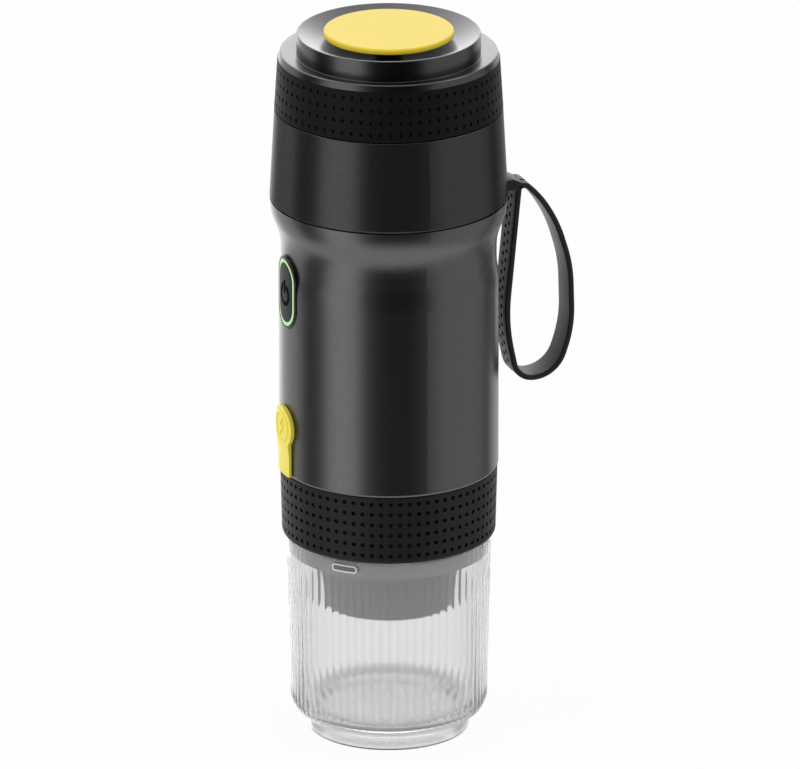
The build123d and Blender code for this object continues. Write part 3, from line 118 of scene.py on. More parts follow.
def sum_of(how: Calc, swapped: bool = False) -> Callable[["Sock", Number], "Sock"]:
    """Operator of a socket that adds one Math node.

    Args:
        how: the sum to do.
        swapped: whether the socket is the right-hand value.

    Returns:
        The operator.
    """

    def operator(sock: "Sock", other: Number) -> "Sock":
        """Sum of the socket and another value."""
        return sock.bench.calc(how, *((other, sock) if swapped else (sock, other)))

    return operator


class Sock:
    """A shader socket that takes part in Python sums."""

    __add__, __radd__ = sum_of(Calc.ADD), sum_of(Calc.ADD, swapped=True)
    __sub__, __rsub__ = sum_of(Calc.SUBTRACT), sum_of(Calc.SUBTRACT, swapped=True)
    __mul__, __rmul__ = sum_of(Calc.MULTIPLY), sum_of(Calc.MULTIPLY, swapped=True)
    __truediv__, __rtruediv__ = sum_of(Calc.DIVIDE), sum_of(Calc.DIVIDE, swapped=True)
    __pow__, __rpow__ = sum_of(Calc.POWER), sum_of(Calc.POWER, swapped=True)
    __or__ = sum_of(Calc.MAXIMUM)
    above = sum_of(Calc.ABOVE)

    def __init__(self, bench: "Bench", socket: bpy.types.NodeSocket | None) -> None:
        """Wrap one output socket of a bench, or None for a node that ends a tree."""
        self.bench = bench
        self.socket = socket


class Bench:
    """Node tree of one material or of the world, and the one method that adds nodes to it."""

    def __init__(self, owner: bpy.types.Material | bpy.types.World) -> None:
        """Clear the owner's node tree.

        Args:
            owner: a material or world.
        """
        owner.use_nodes = True
        self.tree = owner.node_tree
        self.tree.nodes.clear()

    def add(
        self, kind: str, settings: dict | None = None, inputs: dict | None = None, out: int | str = 0
    ) -> Sock:
        """Add a node, set it up and feed its sockets.

        Args:
            kind: the node's type name.
            settings: attributes of the node, set first; "stops" fills a ramp.
            inputs: socket name or number to a value or a Sock.
            out: name or number of the output to hand back.

        Returns:
            The chosen output.
        """
        node = self.tree.nodes.new(kind)
        for key, value in (settings or {}).items():
            if key == "stops":
                self.fill_ramp(node.color_ramp, value)
            else:
                setattr(node, key, value)
        for key, value in (inputs or {}).items():
            socket = node.inputs[key]
            if isinstance(value, Sock):
                self.tree.links.new(value.socket, socket)
            elif socket.type == "RGBA":
                socket.default_value = (*value, 1.0)
            else:
                socket.default_value = value
        return Sock(self, node.outputs[out] if node.outputs else None)

    def fill_ramp(self, ramp: bpy.types.ColorRamp, stops: Sequence[tuple[float, Colour]]) -> None:
        """Set the stops of a ramp.

        Args:
            ramp: the ramp of a node.
            stops: place from 0 to 1 and colour of each stop.
        """
        while len(ramp.elements) < len(stops):
            ramp.elements.new(0.5)
        for element, (place, colour) in zip(ramp.elements, stops):
            element.position = place
            element.color = (*colour, 1.0)

    def calc(self, how: Calc, first: Number, second: Number) -> Sock:
        """Sum of two values or sockets."""
        return self.add("ShaderNodeMath", {"operation": how.value}, {0: first, 1: second})

    def place(self) -> Sock:
        """Object coordinates of the surface, in metres."""
        return self.add("ShaderNodeTexCoord", out="Object")

    def axis(self, name: str) -> Sock:
        """One object coordinate of the surface, in metres."""
        return self.add("ShaderNodeSeparateXYZ", {}, {"Vector": self.place()}, name)

    def stretch(self, scale: tuple[float, float, float]) -> Sock:
        """Object coordinates with each axis times its own factor."""
        return self.add("ShaderNodeMapping", {}, {"Vector": self.place(), "Scale": scale})

    def noise(self, where: Sock, size: float, detail: float, rough: float = 0.5) -> Sock:
        """Noise between 0 and 1, with blotches of one size, octaves, and the weight of the finer ones."""
        inputs = {"Vector": where, "Scale": 1 / (size * MM), "Detail": detail, "Roughness": rough}
        return self.add("ShaderNodeTexNoise", {}, inputs, "Fac")

    def ribs(self, count: int) -> Sock:
        """Mask that is 1 in each groove of flutes round the upright axis, and 0 on the ridges."""
        angle = self.calc(Calc.ANGLE, self.axis("Y"), self.axis("X"))
        return self.calc(Calc.COSINE, angle * count, 0.0) * 0.5 + 0.5

    def between(self, start: float, end: float) -> Sock:
        """Mask that goes from 0 at the first height to 1 at the second."""
        inputs = {"Value": self.axis("Z") / MM, "From Min": start, "From Max": end}
        return self.add("ShaderNodeMapRange", {"clamp": True}, inputs)

    def tint(self, mask: Number, under: Any, over: Any, layer: Layer = Layer.COVER) -> Sock:
        """Colour laid over another colour where a mask says."""
        settings = {"data_type": "RGBA", "blend_type": layer.value}
        return self.add("ShaderNodeMix", settings, {0: mask, MIX_UNDER: under, MIX_OVER: over}, MIX_RESULT)

    def overlay(self, mask: Sock, under: Sock, over: Sock) -> Sock:
        """Shader laid over another shader where a mask says."""
        return self.add("ShaderNodeMixShader", {}, {0: mask, 1: under, 2: over})

    def bump(self, height: Sock, depth: float) -> Sock:
        """Normal that follows a relief of one depth."""
        return self.add("ShaderNodeBump", {}, {"Height": height, "Distance": depth * MM, "Strength": 1.0})

    def glow(self, kind: str, strength: float) -> Sock:
        """White light from a surface or the world."""
        return self.add(kind, {}, {"Color": WHITE, "Strength": strength})

    def surface(self, shader: Sock) -> None:
        """Let a shader show on the material."""
        self.add("ShaderNodeOutputMaterial", {}, {"Surface": shader})


def shade(colour: Colour, share: float) -> Colour:
    """Linear colour made lighter or darker."""
    return tuple(min(1.0, part * share) for part in colour)


@dataclass(frozen=True)
class Finish:
    """Moulded finish: faint mottling, uneven gloss and a fine grain."""

    name: str
    colour: Colour
    roughness: float = 0.4
    metallic: float = 0.0
    shine: float = 0.5
    mottle: float = 0.08
    blotch: float = 9.0
    uneven: float = 0.06
    grain: float = 0.35
    depth: float = 0.006

    def slow(self, bench: Bench) -> Sock:
        """Mask of the slow mottling."""
        return bench.noise(bench.place(), self.blotch, detail=4.0)

    def fine(self, bench: Bench) -> Sock:
        """Mask of the fine grain."""
        return bench.noise(bench.place(), self.grain, detail=3.0, rough=0.6)

    def tones(self, mask: Sock, gain: float = 1.0) -> Sock:
        """Colour that is darker where a mask is 0 and, by so many times as much, lighter where it is 1."""
        dark, light = shade(self.colour, 1 - self.mottle), shade(self.colour, 1 + gain * self.mottle)
        return mask.bench.tint(mask, dark, light)

    def gloss(self, *masks: Sock) -> Sock:
        """Roughness that wanders a little with each mask."""
        return sum(((mask - 0.5) * self.uneven for mask in masks), self.roughness)

    def show(self, relief: Sock, colour: Sock, gloss: Sock, **more: Any) -> None:
        """Let a Principled shader show, with the metal, shine and depth of the finish.

        Args:
            relief: height of the surface, between 0 and 1.
            colour: its colour.
            gloss: its roughness.
            more: other sockets, with _ for each space in their names.
        """
        bench = relief.bench
        sockets = {
            "Base Color": colour,
            "Roughness": gloss,
            "Metallic": self.metallic,
            "Specular IOR Level": self.shine,
            "Normal": bench.bump(relief, self.depth),
            **{name.replace("_", " "): value for name, value in more.items()},
        }
        bench.surface(bench.add("ShaderNodeBsdfPrincipled", {}, sockets))

    def wire(self, bench: Bench) -> None:
        """Build the shader."""
        slow, fine = self.slow(bench), self.fine(bench)
        self.show(fine, self.tones(slow), self.gloss(slow, fine))

    @cache
    def make(self) -> bpy.types.Material:
        """Material of this finish, which is made once.

        Returns:
            The material.
        """
        material = bpy.data.materials.new(self.name)
        self.wire(Bench(material))
        material.diffuse_color = (*self.colour, 1.0)
        return material


@dataclass(frozen=True)
class SatinPaint(Finish):
    """Satin metallic paint with fine flakes."""

    flake: float = 0.22
    flake_rarity: float = 3.0
    flake_gain: float = 2.0
    flake_gloss: float = 0.05
    edge: float = 1.0

    def wire(self, bench: Bench) -> None:
        """Build the shader.

        Args:
            bench: the material's node bench.
        """
        scatter = {"Vector": bench.place(), "Scale": 1 / (self.flake * MM)}
        cells = bench.add("ShaderNodeTexVoronoi", {}, scatter, "Color")
        spark = bench.add("ShaderNodeSeparateColor", {}, {"Color": cells}, "Red") ** self.flake_rarity
        gloss = self.gloss(self.slow(bench)) - spark * self.flake_gloss
        edge = (self.edge, self.edge, self.edge)
        self.show(self.fine(bench), self.tones(spark, self.flake_gain), gloss, Specular_Tint=edge)


@dataclass(frozen=True)
class Rubber(Finish):
    """Matt rubber with a dusty bloom."""

    bloom: float = 1.6
    speck: float = 1.4
    speck_level: float = 0.62

    def wire(self, bench: Bench) -> None:
        """Build the shader.

        Args:
            bench: the material's node bench.
        """
        fine = self.fine(bench)
        specks = bench.noise(bench.place(), self.speck, detail=5.0, rough=0.7)
        dust = specks.above(self.speck_level) * self.slow(bench)
        self.show(fine, bench.tint(dust, self.colour, shade(self.colour, self.bloom)), self.gloss(fine))


@dataclass(frozen=True)
class Frosted(Finish):
    """Frosted clear plastic, with painted shade in its flute grooves, and painted shade by height on its
    foot: a contact-shadow line at the bottom and grey bands above it.
    """

    index: float = 1.22
    clear: float = 0.91
    flutes: int = FLUTES
    flute_top: float = FLUTE_TOP
    flute_fade: float = 0.5
    # Painted shade: the colour in the flute grooves is darkened to this share.
    groove: float = 0.935
    foot_top: float = 12.0
    # Painted shade by height, as height and tone: a dark contact-shadow line at the very bottom, and grey
    # bands over the foot and over the curve and floor above it.
    painted_foot_shades: tuple[Point, ...] = (
        (0.5, 0.05), (0.75, 1.0), (1.4, 1.0), (1.7, 0.66), (4.1, 0.66),
        (4.4, 1.0), (5.0, 1.0), (5.2, 0.5), (7.6, 0.5), (8.6, 1.0),
    )

    def wire(self, bench: Bench) -> None:
        """Build the shader.

        Args:
            bench: the material's node bench.
        """
        slow = self.slow(bench)
        # Painted shade in the flute grooves, below the top of the flutes.
        fluted = bench.between(self.flute_top + self.flute_fade, self.flute_top - self.flute_fade)
        grooves = fluted * bench.ribs(self.flutes)
        wall = bench.tint(grooves, self.tones(slow, gain=0.0), shade(self.colour, self.groove))
        # Painted contact shadow and shade bands by height, multiplied onto the wall colour.
        stops = [(height / self.foot_top, (tone, tone, tone)) for height, tone in self.painted_foot_shades]
        foot = bench.add("ShaderNodeValToRGB", {"stops": stops}, {"Fac": bench.between(0.0, self.foot_top)})
        colour = bench.tint(1.0, wall, foot, Layer.STAIN)
        clear = {"IOR": self.index, "Transmission_Weight": self.clear}
        self.show(self.fine(bench), colour, self.gloss(slow), **clear)


@dataclass(frozen=True)
class Brushed(Finish):
    """Bare metal with fine lines round the axis."""

    drawn: float = 0.04

    def wire(self, bench: Bench) -> None:
        """Build the shader."""
        lines = bench.noise(bench.stretch((self.drawn, self.drawn, 1.0)), self.grain, detail=4.0, rough=0.7)
        self.show(lines, self.tones(lines), self.gloss(lines, self.slow(bench)))


@dataclass(frozen=True)
class LightGuide(Finish):
    """Milky light ring that glows from within."""

    glow: float = 0.45
    gain: float = 0.8

    def wire(self, bench: Bench) -> None:
        """Build the shader."""
        fine, tone = self.fine(bench), self.tones(self.slow(bench), self.gain)
        self.show(fine, tone, self.gloss(fine), Emission_Color=tone, Emission_Strength=self.glow)


@dataclass(frozen=True)
class Board(Finish):
    """Circuit board: lacquer with copper runs showing through."""

    run_scale: float = 260.0
    run_width: float = 0.04
    run_tone: float = 2.4

    def wire(self, bench: Bench) -> None:
        """Build the shader.

        Args:
            bench: the material's node bench.
        """
        brick = {"Vector": bench.place(), "Scale": self.run_scale, "Mortar Size": self.run_width}
        runs = bench.add("ShaderNodeTexBrick", {}, brick, "Fac")
        colour = bench.tint(runs, self.colour, shade(self.colour, self.run_tone))
        self.show(runs, colour, self.gloss(self.slow(bench)))


CLEAR_CUP = Frosted(
    "clear_cup", (0.95, 0.95, 0.95), 0.16, mottle=0.015, blotch=14.0, uneven=0.04, depth=0.002
)
BAND_RUBBER = Rubber(
    "band_rubber", (0.0065, 0.0065, 0.0068), 0.55, shine=0.3, uneven=0.12, grain=0.25, depth=0.012
)
LID_RUBBER = Rubber(
    "lid_rubber", (0.005, 0.005, 0.0053), 0.55, shine=0.12, uneven=0.12, grain=0.25, depth=0.012
)
STRAP_SILICONE = Rubber(
    "strap_silicone", (0.014, 0.014, 0.0148), 0.5, shine=0.3, uneven=0.1, grain=0.3, depth=0.008
)
BODY_GREY = SatinPaint(
    "body_grey", (0.135, 0.135, 0.137), 0.35, metallic=1.0, mottle=0.06, uneven=0.02, depth=0.0002
)
SHELL_BLACK = SatinPaint(
    "shell_black", (0.062, 0.062, 0.064), 0.31, metallic=0.85, mottle=0.05, uneven=0.03, depth=0.0002,
    edge=0.35,
)
LID_BLACK = Finish(
    "lid_black", (0.10, 0.10, 0.102), 0.3, metallic=1.0, mottle=0.06, uneven=0.04, grain=0.3, depth=0.0015
)
YELLOW_PLASTIC = Finish(
    "yellow_plastic", (0.87, 0.655, 0.04), 0.42, shine=0.2, mottle=0.025, uneven=0.05, depth=0.002
)
YELLOW_SILICONE = Finish("yellow_silicone", (0.94, 0.79, 0.085), 0.42, mottle=0.03, uneven=0.08, depth=0.004)
BEZEL_BLACK = Finish(
    "bezel_black", (0.006, 0.006, 0.007), 0.25, shine=0.35, mottle=0.05, uneven=0.04, depth=0.001
)
KEY_GREY = Finish("key_grey", (0.012, 0.013, 0.013), 0.5, shine=0.2, mottle=0.06, uneven=0.06, depth=0.003)
MARK_BLACK = Finish(
    "mark_black", (0.001, 0.001, 0.001), 0.6, shine=0.02, mottle=0.05, uneven=0.05, depth=0.001
)
GREEN_LIGHT = LightGuide("green_light", (0.38, 0.62, 0.27), 0.45, mottle=0.1)
# Pale white of the slot's lip: a painted highlight on the slot's rounded edge.
SLOT_HIGHLIGHT = Finish("slot_painted_highlight", (0.85, 0.85, 0.85), 0.4, mottle=0.03, depth=0.002)
HOLDER_GREY = Finish("holder_grey", (0.185, 0.185, 0.187), 0.45, mottle=0.06, depth=0.005)
CHAMBER_PLASTIC = Finish("chamber_plastic", (0.05, 0.05, 0.052), 0.45, mottle=0.08, depth=0.006)
NOZZLE_PLASTIC = Finish("nozzle_plastic", (0.14, 0.14, 0.142), 0.45, mottle=0.06, depth=0.005)
CLEAR_SILICONE = Finish("clear_silicone", (0.62, 0.62, 0.6), 0.5, mottle=0.04, depth=0.004)
INNER_BLACK = Finish("inner_black", (0.014, 0.014, 0.015), 0.48, mottle=0.08, depth=0.008)
FRAME_PLASTIC = Finish("frame_plastic", (0.055, 0.058, 0.062), 0.52, mottle=0.1, depth=0.01)
STEEL = Brushed("steel", (0.56, 0.57, 0.58), 0.28, metallic=1.0, uneven=0.14, grain=0.18, depth=0.002)
ALUMINIUM = Brushed("aluminium", (0.68, 0.68, 0.69), 0.4, metallic=1.0, uneven=0.16, grain=0.25, depth=0.004)
COPPER = Brushed("copper_strip", (0.72, 0.42, 0.28), 0.34, metallic=1.0, uneven=0.14, grain=0.2, depth=0.002)
CELL_WRAP = Finish("cell_wrap", (0.04, 0.16, 0.34), 0.3, mottle=0.08, depth=0.003)
PUMP_PLASTIC = Finish("pump_plastic", (0.52, 0.52, 0.5), 0.45, mottle=0.06, depth=0.006)
INSULATOR = Finish("insulator_white", (0.7, 0.69, 0.66), 0.75, mottle=0.08, grain=0.8, depth=0.03)
BOARD_GREEN = Board("board_green", (0.012, 0.085, 0.035), 0.32, depth=0.03)

NODE_FINISHES: dict[Finish, str] = {
    HOLDER_GREY: "capsule_holder",
    CHAMBER_PLASTIC: "capsule_basket brew_head",
    NOZZLE_PLASTIC: "nozzle_cover",
    CLEAR_SILICONE: "cup_grip_ring brew_gasket lid_gasket inlet_hose outlet_seal shaft_seal vent_valve",
    STEEL: "pierce_plate brew_needle water_tank thermal_cutout idler_pin motor_can motor_shaft head_screws "
    "frame_screws pump_screws usb_socket vent_stem",
    BODY_GREY: "body_shell",
    SHELL_BLACK: "upper_shell",
    INNER_BLACK: "tank_collar lid_liner motor_end_cap board_parts power_switch switch_plunger",
    BEZEL_BLACK: "button_bezel",
    ALUMINIUM: "heater_plate",
    INSULATOR: "heat_insulator",
    FRAME_PLASTIC: "frame_base frame_top",
    CELL_WRAP: "battery_cells",
    COPPER: "cell_links",
    PUMP_PLASTIC: "pump_body pump_cover drive_gear idler_gear",
    BOARD_GREEN: "control_board",
    GREEN_LIGHT: "light_ring",
    KEY_GREY: "power_button",
    YELLOW_PLASTIC: "vent_button",
}


def dress(obj: bpy.types.Object, finish: Finish) -> None:
    """Give an object one finish all over."""
    obj.data.materials.clear()
    obj.data.materials.append(finish.make())


def dress_nodes() -> None:
    """Give every CAD node that stays in sight its finish."""
    for finish, names in NODE_FINISHES.items():
        for name in names.split():
            dress(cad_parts[name], finish)
        log.info("%s on %s", finish.name, names)


def leave_edit() -> None:
    """Go back to object mode with nothing selected."""
    if bpy.context.object and bpy.context.object.mode == "EDIT":
        bpy.ops.object.mode_set(mode="OBJECT")
    bpy.ops.object.select_all(action="DESELECT")


def middle(item: Any) -> Vector:
    """Middle of a vertex, edge or face."""
    verts = getattr(item, "verts", [item])
    return sum((vert.co for vert in verts), Vector()) / (len(verts) * MM)


class Shaper:
    """One new mesh piece, shaped with operators as by hand."""

    def __init__(
        self, name: str, primitive: Callable[..., Any], at: Sequence[float] = (0, 0, 0), **sizes: Any
    ) -> None:
        """Add a primitive, apply its place and open it in edit mode.

        Args:
            name: name of the object.
            primitive: operator that adds the primitive.
            at: centre of the primitive.
            sizes: the operator's settings, with lengths in metres.
        """
        leave_edit()
        primitive(location=Vector(at) * MM, **sizes)
        self.obj = bpy.context.object
        self.obj.name = name
        self.obj.data.name = name
        self.settle()

    def settle(self) -> None:
        """Apply the place and turn of the piece, and open it in edit mode."""
        bpy.ops.object.transform_apply(location=True, rotation=True, scale=True)
        self.edit()

    def edit(self) -> None:
        """Open the piece in edit mode with everything selected."""
        bpy.context.view_layer.objects.active = self.obj
        bpy.ops.object.mode_set(mode="EDIT")
        bpy.ops.mesh.select_mode(type="VERT")
        self.all()

    def close(self, *others: "Shaper") -> bpy.types.Object:
        """Leave edit mode with only this piece and some others selected.

        Args:
            others: the others.

        Returns:
            This piece's object, which is the active one.
        """
        leave_edit()
        for piece in (*others, self):
            piece.obj.select_set(True)
        bpy.context.view_layer.objects.active = self.obj
        return self.obj

    def mesh(self) -> bmesh.types.BMesh:
        """Mesh of the piece while it is in edit mode."""
        return bmesh.from_edit_mesh(self.obj.data)

    def all(self) -> None:
        """Select everything."""
        bpy.ops.mesh.select_all(action="SELECT")

    def pick(self, kind: Pick, test: Test, rim: bool = False) -> int:
        """Select the elements whose middle passes a test.

        Args:
            kind: vertices, edges or faces.
            test: takes the middle of an element.
            rim: whether only open edges count.

        Returns:
            How many were selected.
        """
        bpy.ops.mesh.select_mode(type=kind.value)
        bpy.ops.mesh.select_all(action="DESELECT")
        mesh = self.mesh()
        items = {Pick.VERTS: mesh.verts, Pick.EDGES: mesh.edges, Pick.FACES: mesh.faces}[kind]
        chosen = [item for item in items if test(middle(item)) and (not rim or item.is_boundary)]
        for item in chosen:
            item.select_set(True)
        mesh.select_flush_mode()
        bmesh.update_edit_mesh(self.obj.data)
        return len(chosen)

    def move(self, x: float = 0.0, y: float = 0.0, z: float = 0.0) -> None:
        """Move what is selected."""
        bpy.ops.transform.translate(value=Vector((x, y, z)) * MM)

    def scale(
        self, x: float = 1.0, y: float = 1.0, z: float = 1.0, about: Sequence[float] = (0, 0, 0)
    ) -> None:
        """Scale what is selected about a point."""
        bpy.ops.transform.resize(value=(x, y, z), center_override=Vector(about) * MM)

    def extrude(self, x: float = 0.0, y: float = 0.0, z: float = 0.0) -> None:
        """Extrude what is selected."""
        bpy.ops.mesh.extrude_region_move(TRANSFORM_OT_translate={"value": Vector((x, y, z)) * MM})

    def draw(self, line: Sequence[Sequence[float]]) -> None:
        """Make the piece a line of edges from corner to corner.

        Args:
            line: place of each corner.
        """
        bpy.ops.mesh.merge(type="CENTER")
        self.move(*line[0])
        for here, there in zip(line, line[1:]):
            self.extrude(*(end - start for start, end in zip(here, there)))

    def slice(self, axis: Sequence[float], places: Sequence[float]) -> None:
        """Cut the piece across an axis.

        Args:
            axis: direction of the axis.
            places: where to cut.
        """
        for place in places:
            self.all()
            bpy.ops.mesh.bisect(plane_co=Vector(axis) * place * MM, plane_no=axis)

    def weld(self, gap: float = MEET_GAP) -> None:
        """Merge vertices that are within a gap of each other."""
        self.all()
        bpy.ops.mesh.remove_doubles(threshold=gap * MM)

    def outward(self) -> None:
        """Turn all faces outward."""
        self.all()
        bpy.ops.mesh.normals_make_consistent(inside=False)

    def modify(self, kind: str, **settings: Any) -> None:
        """Add a modifier and apply it.

        Args:
            kind: the modifier's type.
            settings: its attributes.
        """
        modifier = self.close().modifiers.new(kind.title(), kind)
        for key, value in settings.items():
            setattr(modifier, key, value)
        bpy.ops.object.modifier_apply(modifier=modifier.name)
        self.edit()

    def thicken(self, thickness: float, **settings: Any) -> None:
        """Give the sheet a thickness.

        Args:
            thickness: how thick it gets.
            settings: other settings of the modifier.
        """
        self.outward()
        self.modify("SOLIDIFY", thickness=thickness * MM, **settings)
        self.outward()

    def bevel(self, width: float, segments: int, angle: float = 30.0) -> None:
        """Round the edges that are sharper than an angle in degrees."""
        limit = math.radians(angle)
        self.modify("BEVEL", width=width * MM, segments=segments, limit_method="ANGLE", angle_limit=limit)

    def sweep(self, steps: int, **settings: Any) -> None:
        """Sweep the piece round the upright axis, a full turn in so many steps."""
        self.modify("SCREW", steps=steps, render_steps=steps, **settings)

    def turn(self, profile: Sequence[Point], steps: int) -> None:
        """Make the piece a turned solid.

        Args:
            profile: radius and height of each corner, from axis to axis or closed.
            steps: faces round the axis.
        """
        self.draw([(radius, 0.0, z) for radius, z in profile])
        self.weld()
        self.sweep(steps, use_normal_calculate=True, **WELDED)
        self.weld()
        self.outward()

    def wrap(self, radius: float) -> None:
        """Roll the flat piece round the upright axis.

        Args:
            radius: where its flat plane comes to lie.
        """
        across = [vert.co.x for vert in self.mesh().verts]
        angle = (max(across) - min(across)) / (radius * MM)
        self.modify("SIMPLE_DEFORM", deform_method="BEND", deform_axis="Z", angle=angle)
        self.move(y=-radius)

    def swing(self, degrees: float) -> None:
        """Turn the whole piece round the upright axis."""
        self.close().rotation_euler.z = math.radians(degrees)
        self.settle()

    def repeat(self, count: int, x: float = 0.0, z: float = 0.0) -> None:
        """Repeat the piece in a row and weld the copies.

        Args:
            count: how many in all.
            x: step across.
            z: step up.
        """
        step = {"use_constant_offset": True, "constant_offset_displace": (x * MM, 0, z * MM)}
        self.modify("ARRAY", count=count, use_relative_offset=False, **step, **WELDED)

    def join(self, *others: "Shaper") -> None:
        """Join other pieces into this one.

        Args:
            others: the pieces.
        """
        self.close(*others)
        bpy.ops.object.join()
        self.edit()

    def finish(self, angle: float = 30.0) -> bpy.types.Object:
        """Leave edit mode and smooth the piece.

        Args:
            angle: edges sharper than this stay sharp, in degrees.

        Returns:
            The finished object.
        """
        self.close()
        bpy.ops.object.shade_smooth_by_angle(angle=math.radians(angle))
        return self.obj


def hoop(name: str, at: Sequence[float], radius: float, vertices: int, **fill: str) -> Shaper:
    """Upright circle that faces the front."""
    sizes = {"radius": radius * MM, "vertices": vertices, "rotation": UPRIGHT}
    return Shaper(name, bpy.ops.mesh.primitive_circle_add, at, **sizes, **fill)


def arc(centre: Point, radius: float, start: float, end: float, steps: int) -> list[Point]:
    """Points of so many chords of an arc, from one angle to another in degrees."""
    angles = [math.radians(start + (end - start) * step / steps) for step in range(steps + 1)]
    return [(centre[0] + radius * math.cos(a), centre[1] + radius * math.sin(a)) for a in angles]


def carry(obj: bpy.types.Object, finish: Finish, body: str, slot: str, *nodes: str) -> None:
    """Dress a new piece, and let it ride on a body and stand for CAD nodes.

    Args:
        obj: the piece.
        finish: its finish.
        body: the body that it moves with.
        slot: not used.
        nodes: CAD nodes that it stands for.
    """
    dress(obj, finish)
    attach(obj, body)
    if nodes:
        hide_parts(*nodes)
    log.info("%s rides on %s", obj.name, body)


def bend(
    obj: bpy.types.Object, finish: Finish, body: str, hinge: Vector, reach: Vector, slot: str, *nodes: str
) -> None:
    """Dress a soft piece, bake its place into its mesh and let it stand for CAD nodes.

    Args:
        obj: the piece.
        finish: its finish.
        body: name of a body, which only the log shows.
        hinge: not used.
        reach: not used.
        slot: not used.
        nodes: CAD nodes that it stands for.
    """
    dress(obj, finish)
    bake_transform(obj)
    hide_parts(*nodes)
    log.info("%s bends between housing and %s", obj.name, body)


@dataclass
class FlutedCup:
    """Clear cup with upright flutes, a smooth mouth, a slot under it and a thick foot."""

    height: float = 65.4
    foot_radius: float = 25.4
    foot_height: float = 4.8
    foot_round: float = 0.5
    foot_flare: Point = (0.2, 0.25)
    foot_step: float = 0.6
    base_radius: float = 31.2
    curve_height: float = 11.5
    rim_radius: float = 32.35
    rim_round: float = 0.4
    rim_inset: float = 0.05
    bore: float = 30.6
    bore_bevel: float = 0.3
    bore_depth: float = 7.2
    floor: float = 7.0
    wall: float = 1.75
    wall_levels: tuple[float, ...] = (14.0, 20.0, 27.0, 34.0, 41.0, 48.0, 54.0)
    corner: float = 7.0
    corner_reach: float = 0.6
    flutes: int = FLUTES
    facets: int = 6
    flute_depth: float = 0.24
    flute_top: float = FLUTE_TOP
    flute_end: float = 1.2
    groove_shares: tuple[float, ...] = (1.0, 0.38, 0.08)
    # Height from which each share of the flutes' depth holds.
    fades: tuple[Point, ...] = ((6.0, 0.4), (7.4, 0.75), (11.2, 1.0))
    # Radii between the outer and inner face of the foot and of the curve above it.
    foot_middle: float = 24.4
    curve_middle: float = 28.0
    foot_middle_top: float = 7.5
    slot_azimuth: float = 43.6
    slot_length: float = 7.9
    slot_height: float = 1.7
    slot_z: float = 62.7
    slot_depth: float = 0.6
    bar_length: float = 10.0
    # Size of the pale lip that paints a highlight round the slot.
    lip_wide: float = 0.35
    lip_thick: float = 0.5
    lip_round: float = 0.12
    lip_sunk: float = 0.12
    smooth: float = 28.0

    def outer_wall(self) -> list[Point]:
        """Outline of the outer face, from the foot's curve up to the end of the flutes.

        Returns:
            Radius and height of each corner.
        """
        drop = self.curve_height - self.foot_height
        reach = self.base_radius - (self.foot_radius + self.foot_step)
        radius = (reach * reach + drop * drop) / (2 * reach)
        sweep = math.degrees(math.acos((radius - reach) / radius))
        taper = (self.rim_radius - self.base_radius) / (self.height - self.curve_height)
        levels = (*self.wall_levels, self.flute_top - self.flute_end, self.flute_top)
        return [
            *arc((self.base_radius - radius, self.curve_height), radius, -sweep, 0, steps=8),
            *((self.base_radius + taper * (z - self.curve_height), z) for z in levels),
        ]

    def profile(self) -> list[Point]:
        """Outline of the cup from the axis under the foot round to the axis inside.

        Returns:
            Radius and height of each corner.
        """
        flare, flare_drop = self.foot_flare
        rim = (self.rim_radius - self.rim_round - self.rim_inset, self.height - self.rim_round)
        inner = self.base_radius - self.wall
        lean = math.degrees(math.atan2(self.bore - inner, self.height - self.bore_depth - self.floor))
        corner = (inner - self.corner + self.corner_reach, self.floor + self.corner)
        return [
            (0, 0),
            *arc((self.foot_radius - self.foot_round, self.foot_round), self.foot_round, -90, 0, steps=3),
            (self.foot_radius, self.foot_height - flare_drop),
            (self.foot_radius + flare, self.foot_height),
            *self.outer_wall(),
            *arc(rim, self.rim_round, 0, 90, steps=3),
            (self.bore + self.bore_bevel, self.height),
            (self.bore, self.height - self.bore_bevel),
            (self.bore, self.height - self.bore_depth),
            *arc(corner, self.corner, -lean, -90, steps=8),
            (0, self.floor),
        ]

    def in_groove(self, place: Vector, phase: int) -> bool:
        """Whether a place on the cup is on the outer face, so many facets from the middle of a groove.

        Args:
            place: the place.
            phase: facets from the middle.

        Returns:
            True where both hold.
        """
        inside = self.foot_middle if place.z < self.foot_middle_top else self.curve_middle
        if place.z > self.curve_height:
            inside = self.base_radius - self.wall / 2
        if math.hypot(place.x, place.y) < inside:
            return False
        step = 360 / (self.flutes * self.facets)
        column = round(math.degrees(math.atan2(place.y, place.x)) / step) % self.facets
        return column in (phase, (self.facets - phase) % self.facets)

    def press_flutes(self, cup: Shaper) -> None:
        """Press the grooves into the outer wall, fading out above the foot.

        Args:
            cup: the turned cup.
        """
        tops = [*(start for start, _ in self.fades[1:]), self.flute_top - self.flute_end / 2]
        for phase, share in enumerate(self.groove_shares):
            for (low, fade), high in zip(self.fades, tops):
                if cup.pick(Pick.VERTS, lambda at: low < at.z <= high and self.in_groove(at, phase)):
                    inward = 1 - self.flute_depth * share * fade / self.base_radius
                    cup.scale(inward, inward)

    def oblong(self, ring: Shaper) -> None:
        """Draw a round piece out to the length of the slot.

        Args:
            ring: round piece as wide as the slot is tall.
        """
        half = (self.slot_length - self.slot_height) / 2
        for side in (1, -1):
            ring.pick(Pick.VERTS, lambda at: side * at.x > NEAR)
            ring.move(x=side * half)

    def slot_bar(self) -> bpy.types.Object:
        """Oblong bar that sinks the slot into the wall.

        Returns:
            The bar, turned to the slot's place.
        """
        place = (0, self.slot_depth - self.rim_radius - self.bar_length / 2, self.slot_z)
        sizes = {"vertices": 24, "radius": self.slot_height / 2 * MM, "depth": self.bar_length * MM}
        bar = Shaper("slot_bar", bpy.ops.mesh.primitive_cylinder_add, place, **sizes, rotation=UPRIGHT)
        self.oblong(bar)
        bar.swing(self.slot_azimuth)
        return bar.close()

